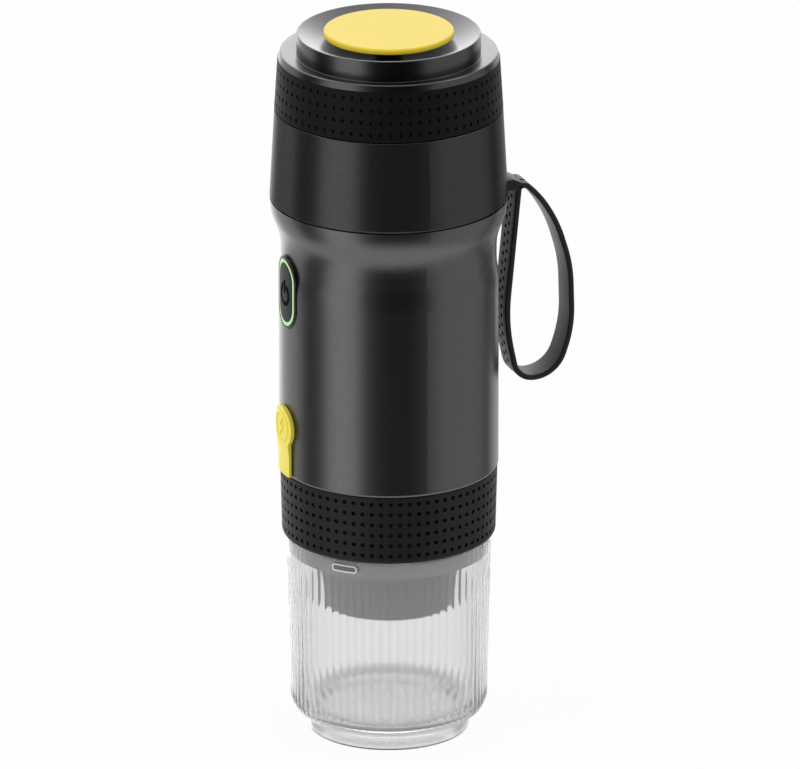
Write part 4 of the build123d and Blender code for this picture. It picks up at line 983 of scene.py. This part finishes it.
    def build_cup(self) -> bpy.types.Object:
        """Turn the cup, press the flutes and sink the slot.

        Returns:
            The cup.
        """
        cup = Shaper("fluted_cup", bpy.ops.mesh.primitive_plane_add, size=MM)
        cup.turn(self.profile(), self.flutes * self.facets)
        self.press_flutes(cup)
        bar = self.slot_bar()
        cup.modify("BOOLEAN", object=bar, operation="DIFFERENCE", solver="EXACT")
        bpy.data.objects.remove(bar)
        return cup.finish(self.smooth)

    def build_highlight_lip(self) -> bpy.types.Object:
        """Thin pale lip round the mouth of the slot, a painted highlight on the slot's rounded edge.

        Returns:
            The lip.
        """
        place = (0, 0, self.slot_z)
        lip = hoop("slot_highlight_lip", place, self.slot_height / 2, vertices=32)
        self.oblong(lip)
        lip.all()
        lip.extrude()
        grow = 2 * self.lip_wide
        lip.scale(1 + grow / self.slot_length, 1.0, 1 + grow / self.slot_height, place)
        lip.thicken(self.lip_thick, offset=0.0)
        lip.bevel(self.lip_round, segments=2)
        lip.wrap(self.rim_radius - self.lip_sunk)
        lip.swing(self.slot_azimuth)
        return lip.finish()

    def install(self) -> None:
        """Build, dress and place the cup and the pale lip of its slot, which paints a highlight on the
        slot's edge.
        """
        carry(self.build_cup(), CLEAR_CUP, "cup", "clear_plastic", "cup")
        carry(self.build_highlight_lip(), SLOT_HIGHLIGHT, "cup", "clear_plastic")


@dataclass
class DimpleTile:
    """Flat tile with one round dimple, facing the front: the unit of every dotted surface."""

    wide: float
    tall: float
    radius: float
    depth: float
    cells: int = 6
    core: float = 0.5
    inside: float = 0.97
    wall: float = 0.75
    draft: float = 0.88

    def loop(self, place: Vector) -> int:
        """Number of the square loop of the net that a place is on, counted from the middle."""
        return round(max(abs(place.x) / self.wide, abs(place.z) / self.tall) * self.cells)

    def within(self, place: Vector, share: float) -> bool:
        """Whether a place is within a share of the dimple's radius."""
        return math.hypot(place.x, place.z) < self.radius * share

    def build(self, name: str) -> Shaper:
        """Net of cells with a round ring of edges, sunk inside the ring.

        Args:
            name: name of the piece that the tile grows into.

        Returns:
            The open tile.
        """
        net = {"x_subdivisions": self.cells, "y_subdivisions": self.cells, "size": MM}
        tile = Shaper(name, bpy.ops.mesh.primitive_grid_add, **net, rotation=UPRIGHT)
        tile.scale(self.wide, 1.0, self.tall)
        tile.pick(Pick.VERTS, lambda at: self.loop(at) <= 1)
        core = self.radius * self.core * self.cells
        tile.scale(core / self.wide, 1.0, core / self.tall)
        tile.pick(Pick.VERTS, lambda at: self.loop(at) == 2)
        tile.scale(1 / self.wide, 1.0, 1 / self.tall)
        bpy.ops.transform.tosphere(value=1.0)
        ring = max(vert.co.length for vert in tile.mesh().verts if vert.select) / MM
        tile.scale(self.radius / ring, 1.0, self.radius / ring)
        tile.pick(Pick.FACES, lambda at: self.within(at, self.inside))
        tile.extrude(y=self.depth * self.wall)
        tile.scale(self.draft, 1.0, self.draft)
        tile.pick(Pick.VERTS, lambda at: self.within(at, self.core))
        tile.move(y=self.depth * (1 - self.wall))
        return tile


@dataclass
class DottedBand:
    """Rubber grip band with rows of round dimples."""

    name: str
    body: str
    node: str
    finish: Finish
    foot_z: float
    top_z: float
    foot_radius: float
    top_radius: float
    bore: float
    rows: int
    row_pitch: float
    first_row: float
    foot_round: float
    top_round: float
    columns: int = 72
    phase: float = 3.1
    dimple_radius: float = 0.7
    dimple_depth: float = 0.9
    smooth: float = 32.0

    def slope(self) -> float:
        """Growth of the outer radius for each millimetre up."""
        return (self.top_radius - self.foot_radius) / (self.top_z - self.foot_z)

    def build(self) -> bpy.types.Object:
        """Repeat the tile, roll the strip into a ring and close its rims.

        Returns:
            The band.
        """
        root = self.foot_radius - self.slope() * self.foot_z
        wide = 2 * math.pi * root / self.columns
        band = DimpleTile(wide, self.row_pitch, self.dimple_radius, self.dimple_depth).build(self.name)
        band.repeat(self.columns, x=wide)
        band.repeat(self.rows, z=self.row_pitch)
        band.move(x=-wide * (self.columns - 1) / 2, z=self.foot_z + self.first_row)
        band.wrap(root)
        band.weld(SEAM_GAP)
        low = self.foot_z + self.first_row - self.row_pitch / 2
        high = low + self.rows * self.row_pitch
        factor = self.slope() * (high - low) / root
        band.modify("SIMPLE_DEFORM", deform_method="TAPER", deform_axis="Z", factor=factor)
        self.close_rims(band, low, high)
        band.swing(self.phase)
        return band.finish(self.smooth)

    def close_rims(self, band: Shaper, low: float, high: float) -> None:
        """Round the two edges and close the ring on its inner side.

        Args:
            band: the open ring.
            low: height of its lower edge.
            high: height of its upper edge.
        """
        foot = (self.foot_radius - self.foot_round, self.foot_z + self.foot_round)
        top = (self.top_radius - self.top_round, self.top_z - self.top_round)
        paths = {
            low: [*arc(foot, self.foot_round, 0, -90, steps=5), (self.bore, self.foot_z)],
            high: [*arc(top, self.top_round, 0, 90, steps=3), (self.bore, self.top_z)],
        }
        for edge, path in paths.items():
            band.pick(Pick.EDGES, lambda at: abs(at.z - edge) < NEAR, rim=True)
            radius, level = self.foot_radius + self.slope() * (edge - self.foot_z), edge
            for there in path:
                band.extrude(z=there[1] - level)
                ratio = there[0] / radius
                band.scale(ratio, ratio)
                radius, level = there
        band.pick(Pick.EDGES, lambda _: True, rim=True)
        bpy.ops.mesh.bridge_edge_loops()
        band.outward()

    def install(self) -> None:
        """Build, dress and place the band."""
        carry(self.build(), self.finish, self.body, "band_rubber", self.node)


@dataclass
class LidCap:
    """Dark lid cap: a low lip, a hollow curve up to the rim, and the dish of the button."""

    foot_z: float = 222.85
    bore: float = 27.1
    lip_foot: float = 34.75
    lip_radius: float = 34.3
    lip_top: float = 225.0
    lip_round: float = 0.6
    lip_sweep: float = 85.0
    shoulder_z: float = 224.15
    curve: float = 0.2
    rim_radius: float = 28.9
    rim_top: float = 231.0
    rim_round: float = 0.35
    dish_edge: float = 28.3
    dish_radius: float = 22.0
    dish_z: float = 228.4
    dish_lean: float = 0.4
    guide_bore: float = 4.1
    wall: float = 1.8
    steps: int = 144

    def profile(self) -> list[Point]:
        """Closed outline of the cap, from its foot round the outside and back through the inside.

        Returns:
            Radius and height of each corner.
        """
        lip = (self.lip_radius - self.lip_round, self.lip_top - self.lip_round)
        hollow = (self.rim_radius + self.curve, self.shoulder_z + self.curve)
        rim = (self.rim_radius - self.rim_round, self.rim_top - self.rim_round)
        guide = self.guide_bore + self.wall
        return [
            (self.bore, self.foot_z),
            (self.lip_foot, self.foot_z),
            *arc(lip, self.lip_round, 0, self.lip_sweep, steps=5),
            *arc(hollow, self.curve, -90, -180, steps=8),
            *arc(rim, self.rim_round, 0, 90, steps=4),
            (self.dish_edge, self.rim_top),
            (self.dish_radius, self.dish_z),
            (self.guide_bore, self.dish_z),
            (self.guide_bore, self.foot_z),
            (guide, self.foot_z),
            (guide, self.dish_z - self.wall),
            (self.dish_radius - self.dish_lean, self.dish_z - self.wall),
            (self.bore, self.rim_top - 2 * self.wall),
            (self.bore, self.foot_z),
        ]

    def install(self) -> None:
        """Turn, dress and place the cap."""
        cap = Shaper("dished_cap", bpy.ops.mesh.primitive_plane_add, size=MM)
        cap.turn(self.profile(), self.steps)
        carry(cap.finish(), LID_BLACK, "lid", "upper_black", "lid_cap")


@dataclass
class ChargeFlap:
    """Yellow keyhole flap over the charging socket, with a raised ring and bolt."""

    head_z: float = 104.5
    head_radius: float = 6.75
    stem_half: float = 4.773
    foot_z: float = 88.65
    thickness: float = 1.35
    edge_round: float = 0.5
    edge_angle: float = 50.0
    inner_radius: float = 34.75
    net_wide: float = 1.2
    net_columns: int = 5
    net_tall: float = 1.1
    net_rows: int = 20
    hinge_z: float = 92.5
    hinge_reach: float = 1.0
    ring_radius: float = 4.7
    mark_width: float = 0.85
    mark_height: float = 0.36
    mark_root: float = 0.05
    mark_round: float = 0.09
    # The front of the stem sinks by shares of the drop, each below its own height.
    stem_drop: float = 0.42
    stem_shares: tuple[Point, ...] = ((98.2, 0.3), (97.0, 0.4), (95.8, 0.3))
    stem_front: float = -0.45
    plug: tuple[float, float, float] = (7.6, 2.4, 1.7)
    plug_root: float = 0.2
    plug_round: float = 0.4
    bolt_corners: tuple[Point, ...] = (
        (0.9, 3.1), (-1.7, -0.35), (-0.15, -0.35), (-0.9, -3.1), (1.7, 0.55), (0.15, 0.55),
    )

    def sheet(self) -> Shaper:
        """Flat keyhole sheet, cut into a fine net.

        Returns:
            The open sheet.
        """
        flap = hoop("charge_flap_soft", (0, 0, self.head_z), self.head_radius, vertices=64, fill_type="NGON")
        flap.pick(Pick.EDGES, lambda at: at.z < self.head_z and abs(at.x) < self.stem_half, rim=True)
        flap.extrude(z=self.foot_z - self.head_z)
        flap.scale(z=0.0, about=(0, 0, self.foot_z))
        flap.slice((0, 0, 1), [self.foot_z + self.net_tall * row for row in range(1, self.net_rows + 1)])
        columns = range(-self.net_columns, self.net_columns + 1)
        flap.slice((1, 0, 0), [self.net_wide * column for column in columns])
        flap.weld()
        return flap

    def ring(self) -> Shaper:
        """Raised ring on the head.

        Returns:
            The open ring.
        """
        place = (0, -self.thickness, self.head_z)
        net = {"major_segments": 64, "minor_segments": 10}
        radii = {"major_radius": self.ring_radius * MM, "minor_radius": self.mark_width / 2 * MM}
        ring = Shaper("flap_ring", bpy.ops.mesh.primitive_torus_add, place, **net, **radii, rotation=UPRIGHT)
        ring.scale(y=2 * self.mark_height / self.mark_width, about=place)
        return ring

    def bolt(self) -> Shaper:
        """Raised bolt on the head, the sign for charging.

        Returns:
            The open bolt.
        """
        bolt = Shaper("flap_bolt", bpy.ops.mesh.primitive_plane_add, size=MM)
        bolt.draw([(x, self.mark_root - self.thickness, self.head_z + z) for x, z in self.bolt_corners])
        bolt.all()
        bpy.ops.mesh.edge_face_add()
        bolt.extrude(y=-self.mark_height - self.mark_root)
        bolt.outward()
        bolt.bevel(self.mark_round, segments=2)
        return bolt

    def stopper(self) -> Shaper:
        """Plug on the back of the head, which fills the socket.

        Returns:
            The open plug.
        """
        wide, deep, tall = self.plug
        place = (0, deep / 2 - self.plug_root, self.head_z)
        plug = Shaper("flap_plug", bpy.ops.mesh.primitive_cube_add, place, size=MM)
        plug.scale(wide, deep + 2 * self.plug_root, tall, place)
        plug.bevel(self.plug_round, segments=3)
        return plug

    def build(self) -> bpy.types.Object:
        """Thicken, round, mark and wrap the flap round the body.

        Returns:
            The flap.
        """
        flap = self.sheet()
        flap.thicken(self.thickness, offset=1.0, use_even_offset=True)
        front = min(vert.co.y for vert in flap.mesh().verts) / MM
        flap.move(y=-self.thickness - front)
        flap.bevel(self.edge_round, segments=4, angle=self.edge_angle)
        for level, share in self.stem_shares:
            flap.pick(Pick.VERTS, lambda at: at.z < level and at.y < self.stem_front)
            flap.move(y=self.stem_drop * share)
        flap.join(self.ring(), self.bolt(), self.stopper())
        flap.wrap(self.inner_radius)
        return flap.finish()

    def install(self) -> None:
        """Build, dress and place the flap."""
        hinge = Vector((0, -self.inner_radius - self.thickness / 2, self.hinge_z))
        reach = Vector((0, 0, self.hinge_reach))
        nodes = ("charge_flap", "flap_anchor")
        bend(self.build(), YELLOW_SILICONE, "flap", hinge, reach, "yellow_silicone", *nodes)


@dataclass
class CarryStrap:
    """Dark silicone strap: a loop with two staggered columns of dimples, and its neck."""

    hinge_y: float = 40.1
    hinge_z: float = 176.9
    hinge_reach: float = 1.8
    hinge_lean: float = 25.0
    wide: float = 10.0
    thickness: float = 1.8
    edge_round: float = 0.55
    pitch: float = 3.04
    column: float = 2.5
    dimple_radius: float = 0.74
    dimple_depth: float = 0.8
    neck_start: float = 32.0
    neck_end: float = 43.2
    neck_tall: float = 3.7
    neck_slope: float = 0.5
    neck_cuts: int = 20
    neck_sloped: int = 4
    neck_round: float = 0.6
    neck_angle: float = 50.0
    chord: float = 1.2
    least_chords: int = 4
    least_radius: float = 4.0
    smooth: float = 32.0
    # Corners of the loop from the hinge, Y then Z, and the radius of the bend at each.
    corners: tuple[Point, ...] = (
        (2.0, -0.9), (-2.4, -45.9), (1.6, -64.8), (14.6, -65.6), (20.0, -49.5),
        (19.4, -29.0), (14.9, -14.4), (9.3, -5.2), (4.2, -0.2),
    )
    bends: tuple[float, ...] = (1.0, 60.0, 6.4, 10.4, 38.0, 45.0, 45.0, 35.0, 2.4)

    def rounded(self, before: Vector, here: Vector, after: Vector, radius: float) -> list[Point]:
        """Points on one rounded corner of the loop.

        Args:
            before: corner before it.
            here: the corner.
            after: corner after it.
            radius: radius of the bend.

        Returns:
            The points, in order.
        """
        come, leave = (before - here).normalized(), (after - here).normalized()
        half = math.acos(max(-1.0, min(1.0, come.dot(leave)))) / 2
        reach = radius / math.tan(half)
        centre = here + (come + leave).normalized() * (radius / math.sin(half))
        start, end = here + come * reach, here + leave * reach
        first = math.atan2(*(start - centre).yx)
        sweep = math.atan2(*(end - centre).yx) - first
        sweep = (sweep + math.pi) % (2 * math.pi) - math.pi
        steps = max(self.least_chords, int(abs(sweep) * max(radius, self.least_radius) / self.chord))
        return arc(tuple(centre), radius, math.degrees(first), math.degrees(first + sweep), steps)

    def path(self) -> list[Point]:
        """Middle line of the loop with its corners rounded, starting and ending at the neck.

        Returns:
            Points in the plane of the loop, Y then Z.
        """
        places = [Vector((self.hinge_y + y, self.hinge_z + z)) for y, z in self.corners]
        line: list[Point] = []
        for index, radius in enumerate(self.bends):
            after = places[(index + 1) % len(places)]
            line += self.rounded(places[index - 1], places[index], after, radius)
        ends = tuple((Vector(line[-1]) + Vector(line[0])) / 2)
        return [ends, *line, ends]

    def strip(self, length: float) -> Shaper:
        """Flat strip with dimples on its outer side.

        Args:
            length: length of the strip.

        Returns:
            The open strip along X, its outer side facing up the Y axis.
        """
        tile = DimpleTile(self.pitch, self.column, self.dimple_radius, self.dimple_depth)
        strip = tile.build("carry_strap")
        strip.repeat(math.ceil(length / self.pitch) + 2, x=self.pitch)
        strip.move(x=-self.pitch, z=-self.column / 2)
        stagger = Vector((self.pitch / 2, 0, self.column)) * MM
        bpy.ops.mesh.duplicate_move(TRANSFORM_OT_translate={"value": stagger})
        strip.weld(SEAM_GAP)
        for end, outer in ((0.0, False), (length, True)):
            strip.all()
            bpy.ops.mesh.bisect(
                plane_co=(end * MM, 0, 0), plane_no=(1, 0, 0), clear_outer=outer, clear_inner=not outer
            )
        strip.weld(SEAM_GAP)
        self.fold_sides(strip)
        strip.weld(SEAM_GAP)
        strip.move(y=-self.thickness / 2)
        for end in (0.0, length):
            strip.pick(Pick.EDGES, lambda at: abs(at.x - end) < NEAR, rim=True)
            bpy.ops.mesh.edge_face_add()
        strip.outward()
        return strip

    def fold_sides(self, strip: Shaper) -> None:
        """Draw both long sides of the dotted face round to the back.

        Args:
            strip: the dotted face.
        """
        half, radius = self.wide / 2 - self.edge_round, self.edge_round
        front = arc((half, radius), radius, -90, 0, steps=4)
        back = arc((half, self.thickness - radius), radius, 0, 90, steps=4)
        for side in (1, -1):
            edge = side * self.column
            strip.pick(Pick.EDGES, lambda at: abs(at.z - edge) < NEAR, rim=True)
            level, depth = self.column, 0.0
            for across, down in [*front, *back, (0.0, self.thickness)]:
                strip.extrude(z=side * (across - level), y=down - depth)
                level, depth = across, down

    def guide(self, line: Sequence[Point]) -> bpy.types.Object:
        """Curve that the strip is laid along.

        Args:
            line: points of the loop.

        Returns:
            The curve, flat in X and Y.
        """
        curve = bpy.data.curves.new("strap_line", "CURVE")
        curve.dimensions = "2D"
        spline = curve.splines.new("POLY")
        spline.points.add(len(line) - 1)
        for point, (y, z) in zip(spline.points, line):
            point.co = (y * MM, z * MM, 0, 1)
        guide = bpy.data.objects.new("strap_line", curve)
        bpy.context.scene.collection.objects.link(guide)
        return guide

    def neck(self) -> Shaper:
        """Thick neck that goes into the joint of the two shells.

        Returns:
            The open neck.
        """
        length = self.neck_end - self.neck_start
        place = (0, self.neck_start + length / 2, self.hinge_z)
        step = length / self.neck_cuts
        neck = Shaper("strap_neck", bpy.ops.mesh.primitive_cube_add, place, size=MM)
        neck.scale(self.wide, length, self.neck_tall, place)
        neck.slice((0, 1, 0), [self.neck_start + step * cut for cut in range(1, self.neck_cuts)])
        for cut in range(self.neck_cuts - self.neck_sloped, self.neck_cuts + 1):
            start = self.neck_start + step * (cut - 0.5)
            neck.pick(Pick.VERTS, lambda at: at.y > start and at.z > self.hinge_z)
            neck.move(z=-self.neck_slope * step)
        neck.bevel(self.neck_round, segments=4, angle=self.neck_angle)
        return neck

    def build(self) -> bpy.types.Object:
        """Lay the strip round the loop and add the neck.

        Returns:
            The strap.
        """
        line = self.path()
        strip = self.strip(sum(math.dist(here, there) for here, there in zip(line, line[1:])))
        guide = self.guide(line)
        strip.modify("CURVE", object=guide, deform_axis="POS_X")
        strip.close().matrix_world = Matrix(((0, 0, 1, 0), (1, 0, 0, 0), (0, 1, 0, 0), (0, 0, 0, 1)))
        strip.settle()
        bpy.data.objects.remove(guide)
        strip.join(self.neck())
        return strip.finish(self.smooth)

    def install(self) -> None:
        """Build, dress and place the strap."""
        lean = math.radians(self.hinge_lean)
        hinge = Vector((0, self.hinge_y, self.hinge_z))
        reach = Vector((0, math.cos(lean), -math.sin(lean))) * self.hinge_reach
        nodes = ("strap_loop", "strap_stub")
        bend(self.build(), STRAP_SILICONE, "strap", hinge, reach, "strap_silicone", *nodes)


@dataclass
class PowerMark:
    """Standby mark on the power key: an open ring and a bar."""

    face: float = 34.95
    centre_z: float = 149.0
    radius: float = 3.1
    stroke: float = 1.35
    relief: float = 0.1
    edge_round: float = 0.05
    ring_drop: float = 0.6
    gap_half: float = 1.15
    bar_rise: float = 1.9
    bar_length: float = 4.4

    def build(self) -> bpy.types.Object:
        """Cut the open ring, add the bar and thicken both.

        Returns:
            The mark.
        """
        place = (0, 0, self.centre_z - self.ring_drop)
        inner = self.radius - self.stroke / 2
        ring = hoop("power_mark", place, inner, vertices=60)
        ring.extrude()
        grow = (inner + self.stroke) / inner
        ring.scale(grow, 1.0, grow, place)
        ring.pick(Pick.FACES, lambda at: abs(at.x) < self.gap_half and at.z > self.centre_z)
        bpy.ops.mesh.delete(type="FACE")
        place = (0, 0, self.centre_z + self.bar_rise)
        bar = Shaper("power_bar", bpy.ops.mesh.primitive_plane_add, place, size=MM, rotation=UPRIGHT)
        bar.scale(self.stroke, 1.0, self.bar_length, place)
        ring.join(bar)
        ring.thicken(2 * self.relief, offset=0.0)
        ring.bevel(self.edge_round, segments=2)
        ring.wrap(self.face)
        return ring.finish()

    def install(self) -> None:
        """Build, dress and place the mark."""
        carry(self.build(), MARK_BLACK, "power_key", "black_plastic")


@dataclass
class VentSpring:
    """Coil spring under the vent button, which shortens as the button is pressed."""

    seat_z: float = 222.8
    radius: float = 2.9
    wire: float = 0.35
    turns: int = 3
    steps: int = 36
    stroke: float = 1.6
    smooth: float = 40.0

    def build(self, low: float, high: float) -> bpy.types.Object:
        """Sweep the wire round and up, and close its two ends.

        Args:
            low: lowest point of the coil.
            high: highest point.

        Returns:
            The spring.
        """
        coil = hoop("vent_coil", (self.radius, 0, low + self.wire), self.wire, vertices=12)
        rise = (high - low - 2 * self.wire) / self.turns
        coil.sweep(self.steps, iterations=self.turns, screw_offset=rise * MM)
        half = (low + high) / 2
        for upper in (False, True):
            coil.pick(Pick.EDGES, lambda at: (at.z > half) == upper, rim=True)
            bpy.ops.mesh.edge_face_add()
        coil.outward()
        return coil.finish(self.smooth)

    def install(self) -> None:
        """Build, dress and place the spring."""
        low, high = (corner[2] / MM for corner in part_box("vent_spring"))
        coil = self.build(low, high)
        carry(coil, STEEL, "lid", "steel", "vent_spring")
        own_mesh(coil)


@dataclass(frozen=True)
class Lamp:
    """Soft rectangular lamp: degrees from the camera and above the floor, metres and watts."""

    name: str
    turn: float
    rise: float
    away: float
    wide: float
    tall: float
    power: float
    mirrored: bool = False


@dataclass(frozen=True)
class Card:
    """Tall curved card that only reflections see: degrees from the camera, metres and brightness."""

    name: str
    start: float
    end: float
    radius: float
    glow: float


@dataclass
class Studio:
    """White set with soft lamps, and the camera at the photograph's angle."""

    azimuth: float = 69.5
    elevation: float = 19.9
    lens: float = 800.0
    sensor: float = 36.0
    # Nearest and farthest that the camera sees, in metres.
    clip: Point = (0.1, 60.0)
    view_wide: float = 252.0
    aim_z: float = 113.8
    aim_right: float = 3.53
    lamp_aim_z: float = 120.0
    fill: float = 0.5
    floor_radius: float = 30000.0
    floor_colour: Colour = (0.9, 0.9, 0.9)
    floor_white: float = 0.95
    card_foot: float = -2000.0
    card_top: float = 3000.0
    card_steps: int = 48
    lamps: tuple[Lamp, ...] = (
        Lamp("left_box", -52.0, 24.0, 1.6, 0.6, 1.0, 6.0),
        Lamp("right_box", 70.0, 20.0, 1.6, 0.8, 1.0, 4.0),
        Lamp("left_top_box", -95.0, 48.0, 1.7, 0.55, 0.55, 4.0, mirrored=True),
        Lamp("right_top_box", 95.0, 48.0, 1.7, 0.55, 0.55, 3.5, mirrored=True),
        Lamp("back_box", 180.0, 16.0, 2.2, 2.2, 0.8, 15.0, mirrored=True),
    )
    cards: tuple[Card, ...] = (
        Card("dark_card", -104.0, 134.0, 2.4, 0.012),
        Card("left_card", -70.0, -30.0, 2.0, 1.25),
        Card("right_card", 44.0, 118.0, 2.0, 0.6),
        Card("left_edge_card", -172.0, -148.0, 2.0, 2.2),
    )

    def direction(self, azimuth: float, elevation: float) -> Vector:
        """Unit vector out from the object, by degrees from the front and above the floor."""
        a, e = math.radians(azimuth), math.radians(elevation)
        return Vector((math.sin(a) * math.cos(e), -math.cos(a) * math.cos(e), math.sin(e)))

    def aim(self, obj: bpy.types.Object, out: Vector, away: float, target: Vector) -> None:
        """Set a camera or lamp in the studio, looking at a point.

        Args:
            obj: the camera or lamp.
            out: unit vector from the point to it.
            away: distance in metres.
            target: the point.
        """
        obj.location = target * MM + out * away
        obj.rotation_euler = (-out).to_track_quat("-Z", "Y").to_euler()
        bpy.context.scene.collection.objects.link(obj)

    def camera(self) -> None:
        """Set up the long lens."""
        data = bpy.data.cameras.new("camera")
        data.lens, data.sensor_width = self.lens, self.sensor
        data.clip_start, data.clip_end = self.clip
        right = math.radians(self.azimuth)
        target = Vector((math.cos(right), math.sin(right), 0)) * self.aim_right + Vector((0, 0, self.aim_z))
        camera = bpy.data.objects.new("camera", data)
        out = self.direction(self.azimuth, self.elevation)
        self.aim(camera, out, self.view_wide * MM * self.lens / self.sensor, target)
        bpy.context.scene.camera = camera

    def lamp(self, lamp: Lamp) -> None:
        """Hang one lamp.

        Args:
            lamp: its place, size and power.
        """
        data = bpy.data.lights.new(lamp.name, "AREA")
        data.shape = "RECTANGLE"
        data.size, data.size_y, data.energy = lamp.wide, lamp.tall, lamp.power
        obj = bpy.data.objects.new(lamp.name, data)
        obj.visible_camera = False
        obj.visible_glossy = lamp.mirrored
        out = self.direction(self.azimuth + lamp.turn, lamp.rise)
        self.aim(obj, out, lamp.away, Vector((0, 0, self.lamp_aim_z)))

    def seen(self, bench: Bench) -> Sock:
        """Mask of the rays that show the plain white set: camera, glossy and transmitted ones.

        Args:
            bench: node bench of the floor or world.

        Returns:
            1 for those rays.
        """
        kinds = ("Camera", "Glossy", "Transmission")
        rays = [bench.add("ShaderNodeLightPath", out=f"Is {kind} Ray") for kind in kinds]
        return rays[0] | rays[1] | rays[2]

    def world(self) -> None:
        """White surround, dimmer as a light than as a background."""
        world = bpy.data.worlds.new("studio")
        bpy.context.scene.world = world
        bench = Bench(world)
        fill, white = (bench.glow("ShaderNodeBackground", strength) for strength in (self.fill, 1.0))
        bench.add("ShaderNodeOutputWorld", {}, {"Surface": bench.overlay(self.seen(bench), fill, white)})

    def floor(self) -> None:
        """White floor that keeps a faint shadow."""
        leave_edit()
        bpy.ops.mesh.primitive_circle_add(vertices=96, radius=self.floor_radius * MM, fill_type="NGON")
        floor = bpy.context.object
        floor.name = "studio_floor"
        material = bpy.data.materials.new("studio_floor")
        bench = Bench(material)
        plain = bench.add("ShaderNodeBsdfDiffuse", {}, {"Color": self.floor_colour})
        white = bench.glow("ShaderNodeEmission", 1.0)
        share = self.seen(bench) * self.floor_white
        bench.surface(bench.overlay(share, plain, white))
        floor.data.materials.append(material)
        floor.visible_glossy = False

    def card(self, card: Card) -> None:
        """Stand one card up.

        Args:
            card: its place and brightness.
        """
        first = self.direction(self.azimuth + card.start, 0) * card.radius / MM
        sheet = Shaper(card.name, bpy.ops.mesh.primitive_plane_add, size=MM)
        sheet.draw([(first.x, first.y, z) for z in (self.card_foot, self.card_top)])
        sheet.sweep(self.card_steps, angle=math.radians(card.end - card.start))
        obj = sheet.close()
        material = bpy.data.materials.new(card.name)
        bench = Bench(material)
        bench.surface(bench.glow("ShaderNodeEmission", card.glow))
        material.cycles.emission_sampling = "NONE"
        obj.data.materials.append(material)
        obj.visible_camera = obj.visible_diffuse = obj.visible_shadow = obj.visible_transmission = False

    def build(self) -> None:
        """Set the whole studio."""
        bpy.context.scene.view_settings.view_transform = "Standard"
        self.camera()
        self.world()
        self.floor()
        for card in self.cards:
            self.card(card)
        for lamp in self.lamps:
            self.lamp(lamp)


CHAMBER_GRIP = DottedBand(
    "chamber_grip", "chamber", "chamber_band", BAND_RUBBER,
    foot_z=65.7, top_z=88.1, foot_radius=33.7, top_radius=34.3, bore=32.5,
    rows=6, row_pitch=3.47, first_row=2.83, foot_round=1.1, top_round=0.3,
)
LID_GRIP = DottedBand(
    "lid_grip", "lid", "lid_band", LID_RUBBER,
    foot_z=206.6, top_z=222.8, foot_radius=35.9, top_radius=34.9, bore=32.85,
    rows=4, row_pitch=3.8, first_row=2.4, foot_round=0.4, top_round=0.1,
)


def main() -> None:
    """Build and dress the espresso maker in its studio."""
    logging.basicConfig(level=logging.INFO, format="%(name)s: %(message)s")
    dress_nodes()
    Studio().build()
    lid = (LID_GRIP, LidCap(), VentSpring())
    for assembly in (FlutedCup(), CHAMBER_GRIP, ChargeFlap(), CarryStrap(), PowerMark(), *lid):
        assembly.install()


if __name__ == "__main__":
    main()
